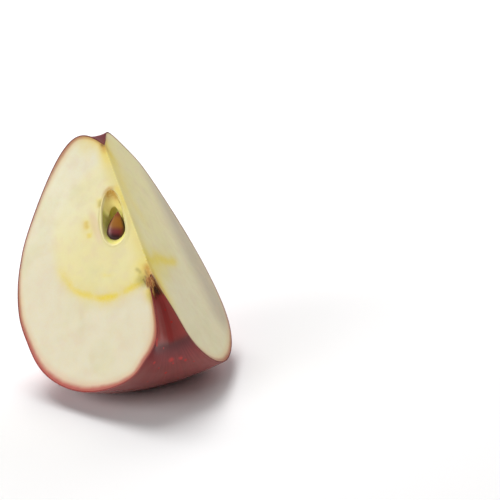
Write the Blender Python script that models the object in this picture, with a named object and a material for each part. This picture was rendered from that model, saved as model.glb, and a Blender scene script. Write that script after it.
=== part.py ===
"""A quarter of a red apple, cut from the calyx to the stem, with the seed that lies in its open chamber.

Metres, +Z up. The quarter lies back on its skin with its core edge to the front (-Y) and the calyx end up. One cut
face looks to the front left (-X), the other to the front right (+X), and the middle of the wedge is the plane X = 0.
The origin is on the ground, under the middle of the slice's box.

Three sets of directions are used:
- outline: (distance from the core, height along the core), in millimetres. Heights run from the stem end to the
  calyx end, and height 0 is the widest level of the apple;
- apple: X from the core to the middle of the skin, Y towards the left cut face, Z along the core;
- world: the apple leant back by LEAN, standing on the ground.
"""

import math

import bmesh
import bpy
import numpy as np
from mathutils import Matrix, Vector

MM = 0.001

# The wedge
WEDGE_ANGLE = math.radians(90.0)
LEAN = math.radians(50.4)
FLAT_DEPTH = 2.5 * MM

# The two cut faces' outlines, from the bottom of the calyx dimple round the outside to the top of the stem cavity
LEFT_OUTLINE = (
    (0.0, 36.0),
    (1.0, 37.5),
    (6.0, 42.0),
    (16.0, 38.0),
    (28.5, 26.0),
    (33.5, 19.5),
    (37.0, 13.0),
    (39.5, 4.5),
    (39.5, -3.0),
    (37.5, -12.5),
    (28.5, -22.0),
    (16.0, -25.0),
    (9.5, -22.5),
    (4.0, -17.5),
    (1.5, -6.5),
    (0.0, -4.0),
)
RIGHT_OUTLINE = (
    (0.0, 36.0),
    (2.0, 38.5),
    (5.5, 41.5),
    (13.0, 39.0),
    (19.0, 35.5),
    (25.5, 27.5),
    (34.5, 12.0),
    (38.5, -8.0),
    (29.5, -21.5),
    (18.5, -24.5),
    (9.5, -20.5),
    (5.5, -13.5),
    (2.0, -7.5),
    (0.0, -4.0),
)
OUTLINE_STEPS = 68
WEDGE_STEPS = 24

# The seed chamber, an egg-shaped hollow in the left cut face
CHAMBER_CENTRE = (5.0, 16.2)
CHAMBER_HALF_LENGTH = 7.6 * MM
CHAMBER_HALF_WIDTH = 3.6 * MM
CHAMBER_TAPER = 0.28
CHAMBER_TILT = math.radians(8.0)
CHAMBER_DEPTH = 4.0 * MM
CHAMBER_WIDEST_DEPTH = 1.2 * MM
CHAMBER_MOUTH = 1.0 * MM
CHAMBER_SIDES = 32
CHAMBER_RINGS = 9

# The seed, a flattened drop that lies in the chamber with its tip towards the calyx
SEED_LENGTH = 7.9 * MM
SEED_WIDTH = 4.9 * MM
SEED_THICKNESS = 2.6 * MM
SEED_CENTRE = (5.4, 14.2)
SEED_SINK = 1.8 * MM
SEED_TIP = Vector((-3.9, 6.9, 0.7))
SEED_FACING = Vector((-0.25, -0.28, 0.93))
SEED_SIDES = 20
SEED_RINGS = 14

# Materials: colour, roughness
FLESH = ((0.80, 0.74, 0.52), 0.45)
PEEL = ((0.30, 0.03, 0.04), 0.25)
SEED_COAT = ((0.12, 0.03, 0.015), 0.2)


def clear_scene():
    """Remove every object that the scene starts with."""
    for thing in list(bpy.data.objects):
        bpy.data.objects.remove(thing, do_unlink=True)


def principled(name, colour, roughness):
    """A plain Principled material."""
    material = bpy.data.materials.new(name)
    material.use_nodes = True
    shader = material.node_tree.nodes["Principled BSDF"]
    shader.inputs["Base Color"].default_value = (*colour, 1.0)
    shader.inputs["Roughness"].default_value = roughness
    shader.inputs["Metallic"].default_value = 0.0
    return material


def add_object(name, mesh, *materials):
    """A new object in the scene, with its materials."""
    thing = bpy.data.objects.new(name, mesh)
    for material in materials:
        mesh.materials.append(material)
    bpy.context.scene.collection.objects.link(thing)
    return thing


def as_cutter(thing):
    """Mark an object as a tool that only cuts others."""
    thing.hide_render = True
    thing.display_type = "WIRE"
    return thing


def cut(thing, cutter):
    """Take the cutter's space out of an object."""
    boolean = thing.modifiers.new("cut by " + cutter.name, "BOOLEAN")
    boolean.operation = "DIFFERENCE"
    boolean.solver = "EXACT"
    boolean.object = cutter


def smooth_outline(points, steps):
    """Evenly spaced points on the natural cubic spline through the given points, in metres."""
    knots = np.array(points) * MM
    last = len(knots) - 1
    system = np.identity(last + 1)
    bend = np.zeros_like(knots)
    for i in range(1, last):
        system[i, i - 1:i + 2] = (1.0, 4.0, 1.0)
        bend[i] = 6.0 * (knots[i - 1] - 2.0 * knots[i] + knots[i + 1])
    curvature = np.linalg.solve(system, bend)

    place = np.linspace(0.0, last, 40 * last + 1)
    span = np.minimum(place.astype(int), last - 1)
    after = (place - span)[:, None]
    before = 1.0 - after
    curve = before * knots[span] + after * knots[span + 1]
    curve += ((before**3 - before) * curvature[span] + (after**3 - after) * curvature[span + 1]) / 6.0

    run = np.concatenate(([0.0], np.cumsum(np.linalg.norm(np.diff(curve, axis=0), axis=1))))
    even = np.linspace(0.0, run[-1], steps + 1)
    return np.stack((np.interp(even, run, curve[:, 0]), np.interp(even, run, curve[:, 1])), axis=1)


def wedge_points():
    """Rows of apple points, one row for each step from the right cut face to the left one."""
    left = smooth_outline(LEFT_OUTLINE, OUTLINE_STEPS)
    right = smooth_outline(RIGHT_OUTLINE, OUTLINE_STEPS)
    rows = []
    for step in range(WEDGE_STEPS + 1):
        share = step / WEDGE_STEPS
        turn = (share - 0.5) * WEDGE_ANGLE
        outline = (1.0 - share) * right + share * left
        rows.append([Vector((r * math.cos(turn), r * math.sin(turn), z)) for r, z in outline])
    return rows


def stand_on_ground(rows):
    """The transform that leans the apple back and sets the wedge on the ground, over the origin."""
    lean = Matrix.Rotation(-LEAN, 4, "X") @ Matrix.Rotation(math.radians(90.0), 4, "Z")
    leant = [lean @ point for row in rows for point in row]
    low = Vector([min(point[k] for point in leant) for k in range(3)])
    high = Vector([max(point[k] for point in leant) for k in range(3)])
    middle = (low + high) / 2.0
    return Matrix.Translation((-middle.x, -middle.y, -low.z - FLAT_DEPTH)) @ lean


def wedge_mesh(rows):
    """The closed wedge: peel between the rows, and a flat cut face on the first row and the last."""
    bm = bmesh.new()
    calyx = bm.verts.new(rows[0][0])
    stem = bm.verts.new(rows[0][-1])
    grid = [[calyx] + [bm.verts.new(point) for point in row[1:-1]] + [stem] for row in rows]
    for row, following in zip(grid, grid[1:]):
        for k in range(OUTLINE_STEPS):
            corners = (row[k], row[k + 1], following[k + 1], following[k])
            face = bm.faces.new(tuple(dict.fromkeys(corners)))
            face.material_index = 1
            face.smooth = True
    cut_faces = [bm.faces.new(grid[0]), bm.faces.new(grid[-1])]
    bmesh.ops.recalc_face_normals(bm, faces=bm.faces)
    bmesh.ops.triangulate(bm, faces=cut_faces)
    mesh = bpy.data.meshes.new("slice")
    bm.to_mesh(mesh)
    bm.free()
    return mesh


def closed_loft(name, bottom, rings, top):
    """A closed mesh through rings of points, with a point at each end."""
    bm = bmesh.new()
    first = bm.verts.new(bottom)
    loops = [[bm.verts.new(point) for point in ring] for ring in rings]
    last = bm.verts.new(top)
    sides = len(loops[0])
    for k in range(sides):
        following = (k + 1) % sides
        bm.faces.new((first, loops[0][following], loops[0][k]))
        bm.faces.new((last, loops[-1][k], loops[-1][following]))
        for ring, above in zip(loops, loops[1:]):
            bm.faces.new((ring[k], ring[following], above[following], above[k]))
    bmesh.ops.recalc_face_normals(bm, faces=bm.faces)
    for face in bm.faces:
        face.smooth = True
    mesh = bpy.data.meshes.new(name)
    bm.to_mesh(mesh)
    bm.free()
    return mesh


def left_face_frame():
    """Apple directions of the left cut face: away from the core, along the core, and out of the face."""
    turn = WEDGE_ANGLE / 2.0
    outwards = Vector((math.cos(turn), math.sin(turn), 0.0))
    along = Vector((0.0, 0.0, 1.0))
    out_of_face = Vector((-math.sin(turn), math.cos(turn), 0.0))
    return outwards, along, out_of_face


def on_left_face(place, height):
    """The apple point at a place on the left cut face, in millimetres, and a height above that face, in metres."""
    outwards, along, out_of_face = left_face_frame()
    return outwards * place[0] * MM + along * place[1] * MM + out_of_face * height


def chamber_mesh():
    """The hollow's space: an egg-shaped opening whose sides go straight in and round off to a flat bowl."""
    outwards, along, out_of_face = left_face_frame()
    tip_way = along * math.cos(CHAMBER_TILT) - outwards * math.sin(CHAMBER_TILT)
    side_way = outwards * math.cos(CHAMBER_TILT) + along * math.sin(CHAMBER_TILT)
    centre = on_left_face(CHAMBER_CENTRE, 0.0)
    below = CHAMBER_DEPTH - CHAMBER_WIDEST_DEPTH

    def ring(depth):
        reach = max(0.0, (depth - CHAMBER_WIDEST_DEPTH) / below)
        size = (1.0 - reach**3) ** (1.0 / 3.0)
        points = []
        for k in range(CHAMBER_SIDES):
            angle = 2.0 * math.pi * k / CHAMBER_SIDES
            wide = CHAMBER_HALF_WIDTH * math.sin(angle) * (1.0 - CHAMBER_TAPER * math.cos(angle))
            long = CHAMBER_HALF_LENGTH * math.cos(angle)
            points.append(centre + (tip_way * long + side_way * wide) * size - out_of_face * depth)
        return points

    depths = [CHAMBER_WIDEST_DEPTH + below * math.sin(0.5 * math.pi * k / CHAMBER_RINGS) for k in range(CHAMBER_RINGS)]
    rings = [ring(-CHAMBER_MOUTH)] + [ring(depth) for depth in depths]
    return closed_loft("chamber", centre + out_of_face * CHAMBER_MOUTH, rings, centre - out_of_face * CHAMBER_DEPTH)


def seed_mesh():
    """The seed: a drop, round at one end and pointed at the other, and flatter than it is wide."""
    outwards, along, out_of_face = left_face_frame()
    tip_way = (outwards * SEED_TIP.x + along * SEED_TIP.y + out_of_face * SEED_TIP.z).normalized()
    facing = outwards * SEED_FACING.x + along * SEED_FACING.y + out_of_face * SEED_FACING.z
    side_way = facing.cross(tip_way).normalized()
    thick_way = tip_way.cross(side_way)
    centre = on_left_face(SEED_CENTRE, -SEED_SINK)
    widest = max(math.sin(t) * math.sin(t / 2.0) for t in np.linspace(0.0, math.pi, 181))

    rings = []
    for step in range(1, SEED_RINGS):
        t = math.pi * (1.0 - step / SEED_RINGS)
        girth = math.sin(t) * math.sin(t / 2.0) / widest
        middle = centre + tip_way * (SEED_LENGTH / 2.0) * math.cos(t)
        ring = []
        for k in range(SEED_SIDES):
            angle = 2.0 * math.pi * k / SEED_SIDES
            wide = SEED_WIDTH / 2.0 * girth * math.cos(angle)
            thick = SEED_THICKNESS / 2.0 * girth * math.sin(angle)
            ring.append(middle + side_way * wide + thick_way * thick)
        rings.append(ring)
    return closed_loft("seed", centre - tip_way * SEED_LENGTH / 2.0, rings, centre + tip_way * SEED_LENGTH / 2.0)


def ground_mesh(rows):
    """The block of ground that the flat spot is cut with, its top at the level of the ground."""
    reach = 2.0 * max(point.length for row in rows for point in row)
    bm = bmesh.new()
    bmesh.ops.create_cube(bm, size=reach)
    bmesh.ops.translate(bm, verts=bm.verts, vec=(0.0, 0.0, -reach / 2.0))
    mesh = bpy.data.meshes.new("ground")
    bm.to_mesh(mesh)
    bm.free()
    return mesh


def main():
    """Build the slice and its seed on one leant-back apple."""
    clear_scene()
    rows = wedge_points()
    apple = bpy.data.objects.new("apple", None)
    apple.matrix_world = stand_on_ground(rows)
    bpy.context.scene.collection.objects.link(apple)

    flesh = principled("flesh", *FLESH)
    peel = principled("peel", *PEEL)
    wedge = add_object("slice", wedge_mesh(rows), flesh, peel)
    chamber = as_cutter(add_object("chamber", chamber_mesh()))
    ground = as_cutter(add_object("ground", ground_mesh(rows)))
    seed = add_object("seed", seed_mesh(), principled("seed coat", *SEED_COAT))
    for thing in (wedge, chamber, seed):
        thing.parent = apple
    cut(wedge, chamber)
    cut(wedge, ground)


main()
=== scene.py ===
"""The looks of a red apple quarter that lies on its skin: cut flesh, peel, seed chamber, seed and dried stem fibres.

Everything is in metres in the frame's own coordinates, +Z up, with the ground at Z = 0. Three sets of directions are
used, as in the frame's construction:
- outline: (distance from the core, height along the core), in millimetres, with height 0 at the widest level and the
  calyx end at the top;
- apple: X from the core to the middle of the skin, Y towards the left cut face, Z along the core, in metres;
- row: the apple leant back and standing on the ground.
"""

import logging
import math
from dataclasses import dataclass, field
from enum import Enum
from functools import partial
from typing import Any, Callable, ClassVar, Sequence

import bmesh
import bpy
import numpy as np
from mathutils import Matrix, Vector, geometry, noise


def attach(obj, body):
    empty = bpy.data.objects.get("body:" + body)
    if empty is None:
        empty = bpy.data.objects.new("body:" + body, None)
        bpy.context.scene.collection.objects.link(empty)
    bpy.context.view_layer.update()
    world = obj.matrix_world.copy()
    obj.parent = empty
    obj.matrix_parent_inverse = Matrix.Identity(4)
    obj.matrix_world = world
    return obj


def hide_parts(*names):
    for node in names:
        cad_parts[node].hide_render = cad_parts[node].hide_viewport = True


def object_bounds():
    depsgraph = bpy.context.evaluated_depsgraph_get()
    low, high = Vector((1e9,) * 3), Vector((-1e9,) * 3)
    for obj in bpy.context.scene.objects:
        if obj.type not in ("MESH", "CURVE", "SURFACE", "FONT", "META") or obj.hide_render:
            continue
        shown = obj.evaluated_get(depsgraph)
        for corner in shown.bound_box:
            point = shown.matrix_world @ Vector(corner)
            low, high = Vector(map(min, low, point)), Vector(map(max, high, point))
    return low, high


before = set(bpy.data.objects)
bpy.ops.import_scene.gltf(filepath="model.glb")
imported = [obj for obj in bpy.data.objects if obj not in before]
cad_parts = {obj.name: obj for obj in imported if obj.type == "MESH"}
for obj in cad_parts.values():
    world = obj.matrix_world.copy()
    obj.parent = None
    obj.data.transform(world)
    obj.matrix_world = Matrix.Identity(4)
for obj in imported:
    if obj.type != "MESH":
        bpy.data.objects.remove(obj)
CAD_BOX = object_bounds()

log = logging.getLogger("apple_quarter")

MM = 0.001
BODY = "root"
# How many points are measured against a line in one go, which keeps the arrays small
POINTS_AT_ONCE = 2000
# The distance from the chamber's lip, in millimetres, given to flesh in a face that has no chamber
NO_LIP = 50.0

Pair = tuple[float, float]
Colour = tuple[float, float, float, float]
# add_node with its node tree given
Adder = Callable[..., bpy.types.NodeSocket]


class CutFace(Enum):
    """The quarter's two cut faces, as shares of the way round the wedge from the right one to the left one."""

    RIGHT = 0.0
    LEFT = 1.0


# ---------------------------------------------------------------------------------------------------------------
# Helpers


def srgb(code: str) -> Colour:
    """Turn an sRGB hex colour into a linear one.

    Args:
        code: six hex digits, with or without a leading #.

    Returns:
        Linear red, green and blue, and an alpha of 1.
    """
    code = code.lstrip("#")
    values = [int(code[k:k + 2], 16) / 255.0 for k in (0, 2, 4)]
    linear = [v / 12.92 if v <= 0.04045 else ((v + 0.055) / 1.055) ** 2.4 for v in values]
    return (linear[0], linear[1], linear[2], 1.0)


def smooth_step(values: np.ndarray, low: float, high: float) -> np.ndarray:
    """Rise smoothly from 0 at low to 1 at high, or fall where low is above high.

    Args:
        values: the values to take.
        low: where the result is 0.
        high: where the result is 1.

    Returns:
        Shares from 0 to 1.
    """
    share = np.clip((values - low) / (high - low), 0.0, 1.0)
    return share * share * (3.0 - 2.0 * share)


def spline(points: Sequence[Pair], per_span: int = 40) -> np.ndarray:
    """Run a natural cubic spline through a few points.

    Args:
        points: the points to pass through.
        per_span: how many points to give for each span between two of them.

    Returns:
        The curve's points, one row each.
    """
    knots = np.array(points, float)
    last = len(knots) - 1
    system = np.identity(last + 1)
    bend = np.zeros_like(knots)
    for i in range(1, last):
        system[i, i - 1:i + 2] = (1.0, 4.0, 1.0)
        bend[i] = 6.0 * (knots[i - 1] - 2.0 * knots[i] + knots[i + 1])
    curvature = np.linalg.solve(system, bend)
    place = np.linspace(0.0, last, per_span * last + 1)
    span = np.minimum(place.astype(int), last - 1)
    after = (place - span)[:, None]
    before = 1.0 - after
    line = before * knots[span] + after * knots[span + 1]
    return line + ((before**3 - before) * curvature[span] + (after**3 - after) * curvature[span + 1]) / 6.0


def along_line(line: np.ndarray) -> np.ndarray:
    """Distance run along a line at each of its points."""
    return np.concatenate(([0.0], np.cumsum(np.linalg.norm(np.diff(line, axis=0), axis=1))))


def evenly(line: np.ndarray, steps: int) -> np.ndarray:
    """Evenly spaced points on a line, one more than steps.

    Args:
        line: the line's points in order.
        steps: how many pieces to divide it into.

    Returns:
        The points, one row each.
    """
    run = along_line(line)
    places = np.linspace(0.0, run[-1], steps + 1)
    return np.stack([np.interp(places, run, line[:, k]) for k in range(line.shape[1])], axis=1)


def nearest_on_line(points: np.ndarray, line: np.ndarray) -> tuple[np.ndarray, np.ndarray]:
    """Find how far points are from a line of short straight pieces.

    Args:
        points: the points, one row each.
        line: the line's points in order.

    Returns:
        Each point's distance to the line, and how far along the line, from 0 to 1, its nearest place is.
    """
    start = line[:-1]
    step = line[1:] - start
    length_sq = np.maximum((step**2).sum(axis=1), 1e-18)
    run = along_line(line)
    distance = np.empty(len(points))
    place = np.empty(len(points))
    for first in range(0, len(points), POINTS_AT_ONCE):
        part = slice(first, first + POINTS_AT_ONCE)
        block = points[part]
        offset = block[:, None, :] - start[None]
        share = np.clip((offset * step[None]).sum(axis=2) / length_sq, 0.0, 1.0)
        gap = np.linalg.norm(offset - share[..., None] * step[None], axis=2)
        best = gap.argmin(axis=1)
        rows = np.arange(len(block))
        distance[part] = gap[rows, best]
        reach = run[best] + share[rows, best] * np.sqrt(length_sq[best])
        place[part] = reach / run[-1]
    return distance, place


def inside_loop(points: np.ndarray, loop: np.ndarray) -> np.ndarray:
    """Tell which points lie inside a closed loop, by counting the sides crossed on the way out.

    Args:
        points: the points, one row each.
        loop: the loop's points in order, the first one not repeated.

    Returns:
        True for each point inside.
    """
    x, y = points[:, 0], points[:, 1]
    inside = np.zeros(len(points), bool)
    for (ax, ay), (bx, by) in zip(loop, np.roll(loop, -1, axis=0)):
        crosses = (ay > y) != (by > y)
        if ay != by:
            inside ^= crosses & (x < (bx - ax) * (y - ay) / (by - ay) + ax)
    return inside


def wander(points: np.ndarray, size: float, seed: float) -> np.ndarray:
    """Smooth noise from -1 to 1 at points given in metres.

    Args:
        points: places, one row of three each.
        size: the noise's grain, in metres.
        seed: shifts the pattern, so that two uses differ.

    Returns:
        One value for each point.
    """
    shift = Vector((seed, 2.0 * seed, -seed))
    return np.array([noise.noise(Vector(p) / size + shift) for p in points])


@dataclass
class MeshParts:
    """Points, faces and point values gathered from several surfaces before they become one mesh."""

    points: list[np.ndarray] = field(default_factory=list)
    faces: list[tuple[int, ...]] = field(default_factory=list)
    values: dict[str, list[np.ndarray]] = field(default_factory=dict)
    count: int = 0

    def add(self, points: np.ndarray, faces: Sequence[Sequence[int]], **values: np.ndarray) -> None:
        """Add a surface.

        Args:
            points: its points in row coordinates.
            faces: its faces, as numbers of its own points.
            **values: a value for each point and name. Each surface gives the same names.
        """
        self.points.append(points)
        self.faces.extend(tuple(int(k) + self.count for k in face) for face in faces)
        for name, value in values.items():
            self.values.setdefault(name, []).append(np.broadcast_to(value, (len(points),)))
        self.count += len(points)

    def build(self, name: str, weld: float = 0.0, sharp: float = math.radians(50.0)) -> bpy.types.Object:
        """Make the gathered surfaces into one smooth-shaded object.

        Args:
            name: the object's name.
            weld: points closer than this, in metres, become one.
            sharp: edges that turn by more than this angle stay sharp.

        Returns:
            The new object, linked to the scene.
        """
        mesh = bpy.data.meshes.new(name)
        mesh.from_pydata(np.concatenate(self.points).tolist(), [], self.faces)
        for key, blocks in self.values.items():
            layer = mesh.attributes.new(key, "FLOAT", "POINT")
            layer.data.foreach_set("value", np.concatenate(blocks).astype(np.float32))
        bm = bmesh.new()
        bm.from_mesh(mesh)
        if weld > 0.0:
            bmesh.ops.remove_doubles(bm, verts=bm.verts, dist=weld)
            bmesh.ops.dissolve_degenerate(bm, edges=bm.edges, dist=weld)
        bmesh.ops.recalc_face_normals(bm, faces=bm.faces)
        for face in bm.faces:
            face.smooth = True
        bm.to_mesh(mesh)
        bm.free()
        mesh.set_sharp_from_angle(angle=sharp)
        thing = bpy.data.objects.new(name, mesh)
        bpy.context.scene.collection.objects.link(thing)
        return thing


def grid_faces(rows: int, columns: int, closed: bool = False) -> list[tuple[int, int, int, int]]:
    """Quads of a grid of points.

    Args:
        rows: how many rows of points there are.
        columns: how many points are in a row.
        closed: whether the last point in a row joins the first.

    Returns:
        The quads, as point numbers.
    """
    quads = []
    for row in range(rows - 1):
        for k in range(columns if closed else columns - 1):
            following = (k + 1) % columns
            here, below = row * columns, (row + 1) * columns
            quads.append((here + k, here + following, below + following, below + k))
    return quads


def fan_faces(start: int, sides: int, tip: int) -> list[tuple[int, int, int]]:
    """Triangles from a closed ring of points, numbered from start, to one tip."""
    return [(start + k, start + (k + 1) % sides, tip) for k in range(sides)]


# ---------------------------------------------------------------------------------------------------------------
# Form


@dataclass(frozen=True)
class Quarter:
    """The quarter's form: the outlines of its two cut faces, and how it lies on the ground."""

    left: tuple[Pair, ...] = (
        (0.0, 36.0), (1.0, 37.5), (6.0, 42.0), (16.0, 38.0), (28.5, 26.0), (33.5, 19.5), (37.0, 13.0), (39.5, 4.5),
        (39.5, -3.0), (37.5, -12.5), (28.5, -22.0), (16.0, -25.0), (9.5, -22.5), (4.0, -17.5), (1.5, -6.5),
        (0.0, -4.0),
    )
    right: tuple[Pair, ...] = (
        (0.0, 36.0), (2.0, 38.5), (5.5, 41.5), (13.0, 39.0), (19.0, 35.5), (25.5, 27.5), (34.5, 12.0), (38.5, -8.0),
        (29.5, -21.5), (18.5, -24.5), (9.5, -20.5), (5.5, -13.5), (2.0, -7.5), (0.0, -4.0),
    )
    wedge: float = math.radians(90.0)
    lean: float = math.radians(50.4)
    contact_blend: float = 0.5 * MM
    lobes: float = 5.0
    lobe_height: float = 0.45 * MM
    lobe_start: float = 12.0 * MM
    blend_steps: int = 600
    # How the form is kept inside the frame's box, and how finely it is measured for that
    shrink: float = 0.9975
    top_gap: float = 0.05 * MM
    box_turns: int = 24
    box_steps: int = 68

    def outline(self, share: float, steps: int, inset: float = 0.0) -> np.ndarray:
        """The skin's outline at one turn of the wedge.

        Args:
            share: how far round the wedge, from 0 at the right cut face to 1 at the left one.
            steps: how many pieces to divide the outline into.
            inset: how deep below the skin, in metres.

        Returns:
            Points (distance from the core, height), in metres, from the calyx dimple round to the stem cavity.
        """
        right, left = (evenly(spline(knots), self.blend_steps) for knots in (self.right, self.left))
        line = ((1.0 - share) * right + share * left) * MM
        if inset > 0.0:
            way = np.gradient(line, axis=0)
            way /= np.linalg.norm(way, axis=1)[:, None]
            inner = line + np.stack((way[:, 1], -way[:, 0]), axis=1) * inset
            ends = (line[:1] - (0.0, 2.0 * inset), line[-1:] + (0.0, 2.0 * inset))
            inner = inner[inner[:, 0] > inset]
            line = np.concatenate((ends[0], inner, ends[1]))
        return evenly(line, steps)

    def skin(self, turns: int, steps: int, inset: float = 0.0) -> np.ndarray:
        """A grid of apple points over the whole skin, or over a surface below it.

        Args:
            turns: how many pieces to divide the way round into.
            steps: how many pieces to divide the outline into.
            inset: how deep below the skin, in metres.

        Returns:
            An array of shape (turns + 1, steps + 1, 3).
        """
        rows = []
        for k in range(turns + 1):
            share = k / turns
            turn = (share - 0.5) * self.wedge
            line = self.outline(share, steps, inset)
            run = np.linspace(0.0, 1.0, steps + 1)
            lobes = np.cos(self.lobes * turn) * np.sin(math.pi * share) * np.sin(math.pi * run) ** 2
            reach = line[:, 0] + self.lobe_height * lobes * smooth_step(line[:, 0], 0.0, self.lobe_start)
            rows.append(np.stack((reach * math.cos(turn), reach * math.sin(turn), line[:, 1]), axis=1))
        return np.array(rows)

    def lie(self) -> Matrix:
        """The transform from apple to row coordinates, which fits the quarter into the frame's box.

        Returns:
            The leaning, shrinking and shifting as one matrix.
        """
        lean = Matrix.Rotation(-self.lean, 4, "X") @ Matrix.Rotation(math.radians(90.0), 4, "Z")
        lean = lean @ Matrix.Scale(self.shrink, 4)
        points = self.skin(self.box_turns, self.box_steps).reshape(-1, 3) @ np.array(lean.to_3x3()).T
        low, high = points.min(axis=0), points.max(axis=0)
        cad_low, cad_high = CAD_BOX
        shift = [(cad_low[k] + cad_high[k] - low[k] - high[k]) / 2.0 for k in (0, 1)]
        return Matrix.Translation((shift[0], shift[1], cad_high[2] - high[2] - self.top_gap)) @ lean

    def to_row(self, points: np.ndarray, clear: float = 0.0) -> np.ndarray:
        """Turn apple points into row points, and press what would be in the ground flat.

        Args:
            points: apple points, one row each.
            clear: how far above the ground the pressed points stay, in metres.

        Returns:
            Row points, one row each.
        """
        lie = np.array(self.lie())
        row = points @ lie[:3, :3].T + lie[:3, 3]
        over = row[:, 2] - clear
        bulge = 0.25 * self.contact_blend * np.exp(-(over / self.contact_blend) ** 2)
        row[:, 2] = clear + 0.5 * (over + np.sqrt(over**2 + self.contact_blend**2)) - bulge
        return row

    def face_frame(self, face: CutFace) -> tuple[np.ndarray, np.ndarray, np.ndarray]:
        """Apple directions of a cut face: away from the core, along the core, and out of the face.

        Args:
            face: which cut face.

        Returns:
            The three unit directions.
        """
        turn = (face.value - 0.5) * self.wedge
        side = 1.0 if face is CutFace.LEFT else -1.0
        outwards = np.array((math.cos(turn), math.sin(turn), 0.0))
        along = np.array((0.0, 0.0, 1.0))
        return outwards, along, side * np.array((-math.sin(turn), math.cos(turn), 0.0))

    def on_face(self, face: CutFace, places: np.ndarray, rise: np.ndarray | float = 0.0) -> np.ndarray:
        """Apple points on a cut face.

        Args:
            face: which cut face.
            places: (distance from the core, height) in metres, one row each.
            rise: how far out of the face each point stands, in metres.

        Returns:
            Apple points, one row each.
        """
        outwards, along, out_of_face = self.face_frame(face)
        rise = np.broadcast_to(rise, (len(places),))
        return places[:, :1] * outwards + places[:, 1:] * along + rise[:, None] * out_of_face


@dataclass(frozen=True)
class Chamber:
    """The opened seed chamber in the left cut face.

    Its walls are steep at the sides. At the calyx end a ledge hangs over it, and at the stem end it rises in a bowl.
    Angles are taken round the chamber's middle, from 0 towards the calyx, growing towards the core.
    """

    middle: Pair = (5.2, 15.5)
    # The mouth's edge on the cut face, from the calyx end round by the core
    mouth: tuple[Pair, ...] = (
        (3.0, 22.9), (2.2, 22.2), (1.6, 20.5), (1.4, 18.3), (1.7, 16.2), (2.0, 14.2), (2.3, 12.2), (3.1, 10.3),
        (4.5, 9.2), (6.1, 8.9), (7.6, 9.4), (8.6, 10.9), (8.9, 12.8), (8.5, 15.2), (7.7, 17.6), (6.8, 19.9),
        (5.6, 21.7), (4.2, 22.8),
    )
    depth: float = 3.6 * MM
    # The lip's width in millimetres: its mean, how much it swings round the mouth, where it is narrowest, and its least
    lip_mean: float = 0.36
    lip_swing: float = 0.26
    lip_turn: float = math.radians(48.0)
    lip_least: float = 0.14
    sides: int = 120
    rings: int = 44
    hood_at: float = 14.0
    hood_full: float = 26.0
    hood_end: float = 54.0
    bowl_at: float = 216.0
    bowl_full: float = 30.0
    bowl_end: float = 92.0
    # The wall's way down as (size of the ring against the mouth, depth against the full depth)
    wall: tuple[Pair, ...] = (
        (1.0, 0.0), (0.955, 0.06), (0.91, 0.15), (0.85, 0.27), (0.78, 0.41), (0.69, 0.56), (0.56, 0.73),
        (0.36, 0.90), (0.0, 1.0),
    )
    hood: tuple[Pair, ...] = (
        (1.0, 0.0), (0.94, 0.05), (0.84, 0.12), (0.70, 0.21), (0.55, 0.33), (0.525, 0.42), (0.60, 0.55),
        (0.50, 0.85), (0.0, 1.0),
    )
    bowl: tuple[Pair, ...] = (
        (1.0, 0.0), (0.94, 0.08), (0.87, 0.19), (0.79, 0.33), (0.71, 0.48), (0.62, 0.63), (0.48, 0.82),
        (0.27, 0.96), (0.0, 1.0),
    )

    def angles(self) -> np.ndarray:
        """Evenly spaced angles round the chamber, in radians."""
        return np.linspace(0.0, 2.0 * math.pi, self.sides, endpoint=False)

    def near(self, at: float, full: float, end: float) -> np.ndarray:
        """Shares of 1 within full degrees of an angle, falling to 0 at end degrees from it."""
        away = np.abs((np.degrees(self.angles()) - at + 180.0) % 360.0 - 180.0)
        return smooth_step(away, end, full)

    def lip_width(self) -> np.ndarray:
        """How far the lining's lip covers the cut face at each angle, in metres."""
        width = self.lip_mean + self.lip_swing * np.cos(self.angles() + self.lip_turn)
        return np.maximum(width, self.lip_least) * MM

    def edge(self, grow: np.ndarray | float = 0.0) -> np.ndarray:
        """The mouth's edge, or a line round it.

        Args:
            grow: how far outside the mouth's edge the line runs at each angle, in metres.

        Returns:
            Points (distance from the core, height) in metres, one for each angle.
        """
        knots = np.array(self.mouth) * MM
        ring = spline(np.concatenate((knots[-4:], knots, knots[:5])) / MM, 30)[3 * 30:-4 * 30] * MM
        offset = ring - np.array(self.middle) * MM
        angle = np.unwrap(np.arctan2(-offset[:, 0], offset[:, 1]))
        span = np.concatenate((angle[:-1] - 2.0 * math.pi, angle, angle[1:] + 2.0 * math.pi))
        reach = np.hypot(offset[:, 0], offset[:, 1])
        reach = np.concatenate((reach[:-1], reach, reach[1:]))
        order = np.argsort(span)
        distance = np.interp(self.angles(), span[order], reach[order]) + grow
        way = np.stack((-np.sin(self.angles()), np.cos(self.angles())), axis=1)
        return np.array(self.middle) * MM + distance[:, None] * way

    def rings_down(self, grow: float = 0.0) -> tuple[np.ndarray, np.ndarray]:
        """Rings of points down the wall, from the mouth to just short of the bottom's middle.

        Args:
            grow: how far outside the wall the rings run, in metres.

        Returns:
            Places on the face of shape (rings, sides, 2), and depths of shape (rings, sides), in metres.
        """
        hood = self.near(self.hood_at, self.hood_full, self.hood_end)[None, :, None]
        bowl = self.near(self.bowl_at, self.bowl_full, self.bowl_end)[None, :, None]
        lines = [evenly(spline(line), self.rings)[:-1, None, :] for line in (self.wall, self.hood, self.bowl)]
        line = (1.0 - hood - bowl) * lines[0] + hood * lines[1] + bowl * lines[2]
        middle = np.array(self.middle) * MM
        places = middle + (self.edge(grow)[None] - middle) * np.maximum(line[..., :1], 0.0)
        return places, line[..., 1] * (self.depth + grow)


class Tone(Enum):
    """The colours of marks in the flesh."""

    YELLOW = "yellow"
    OLIVE = "olive"
    OCHRE = "ochre"
    BROWN = "brown"


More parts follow.
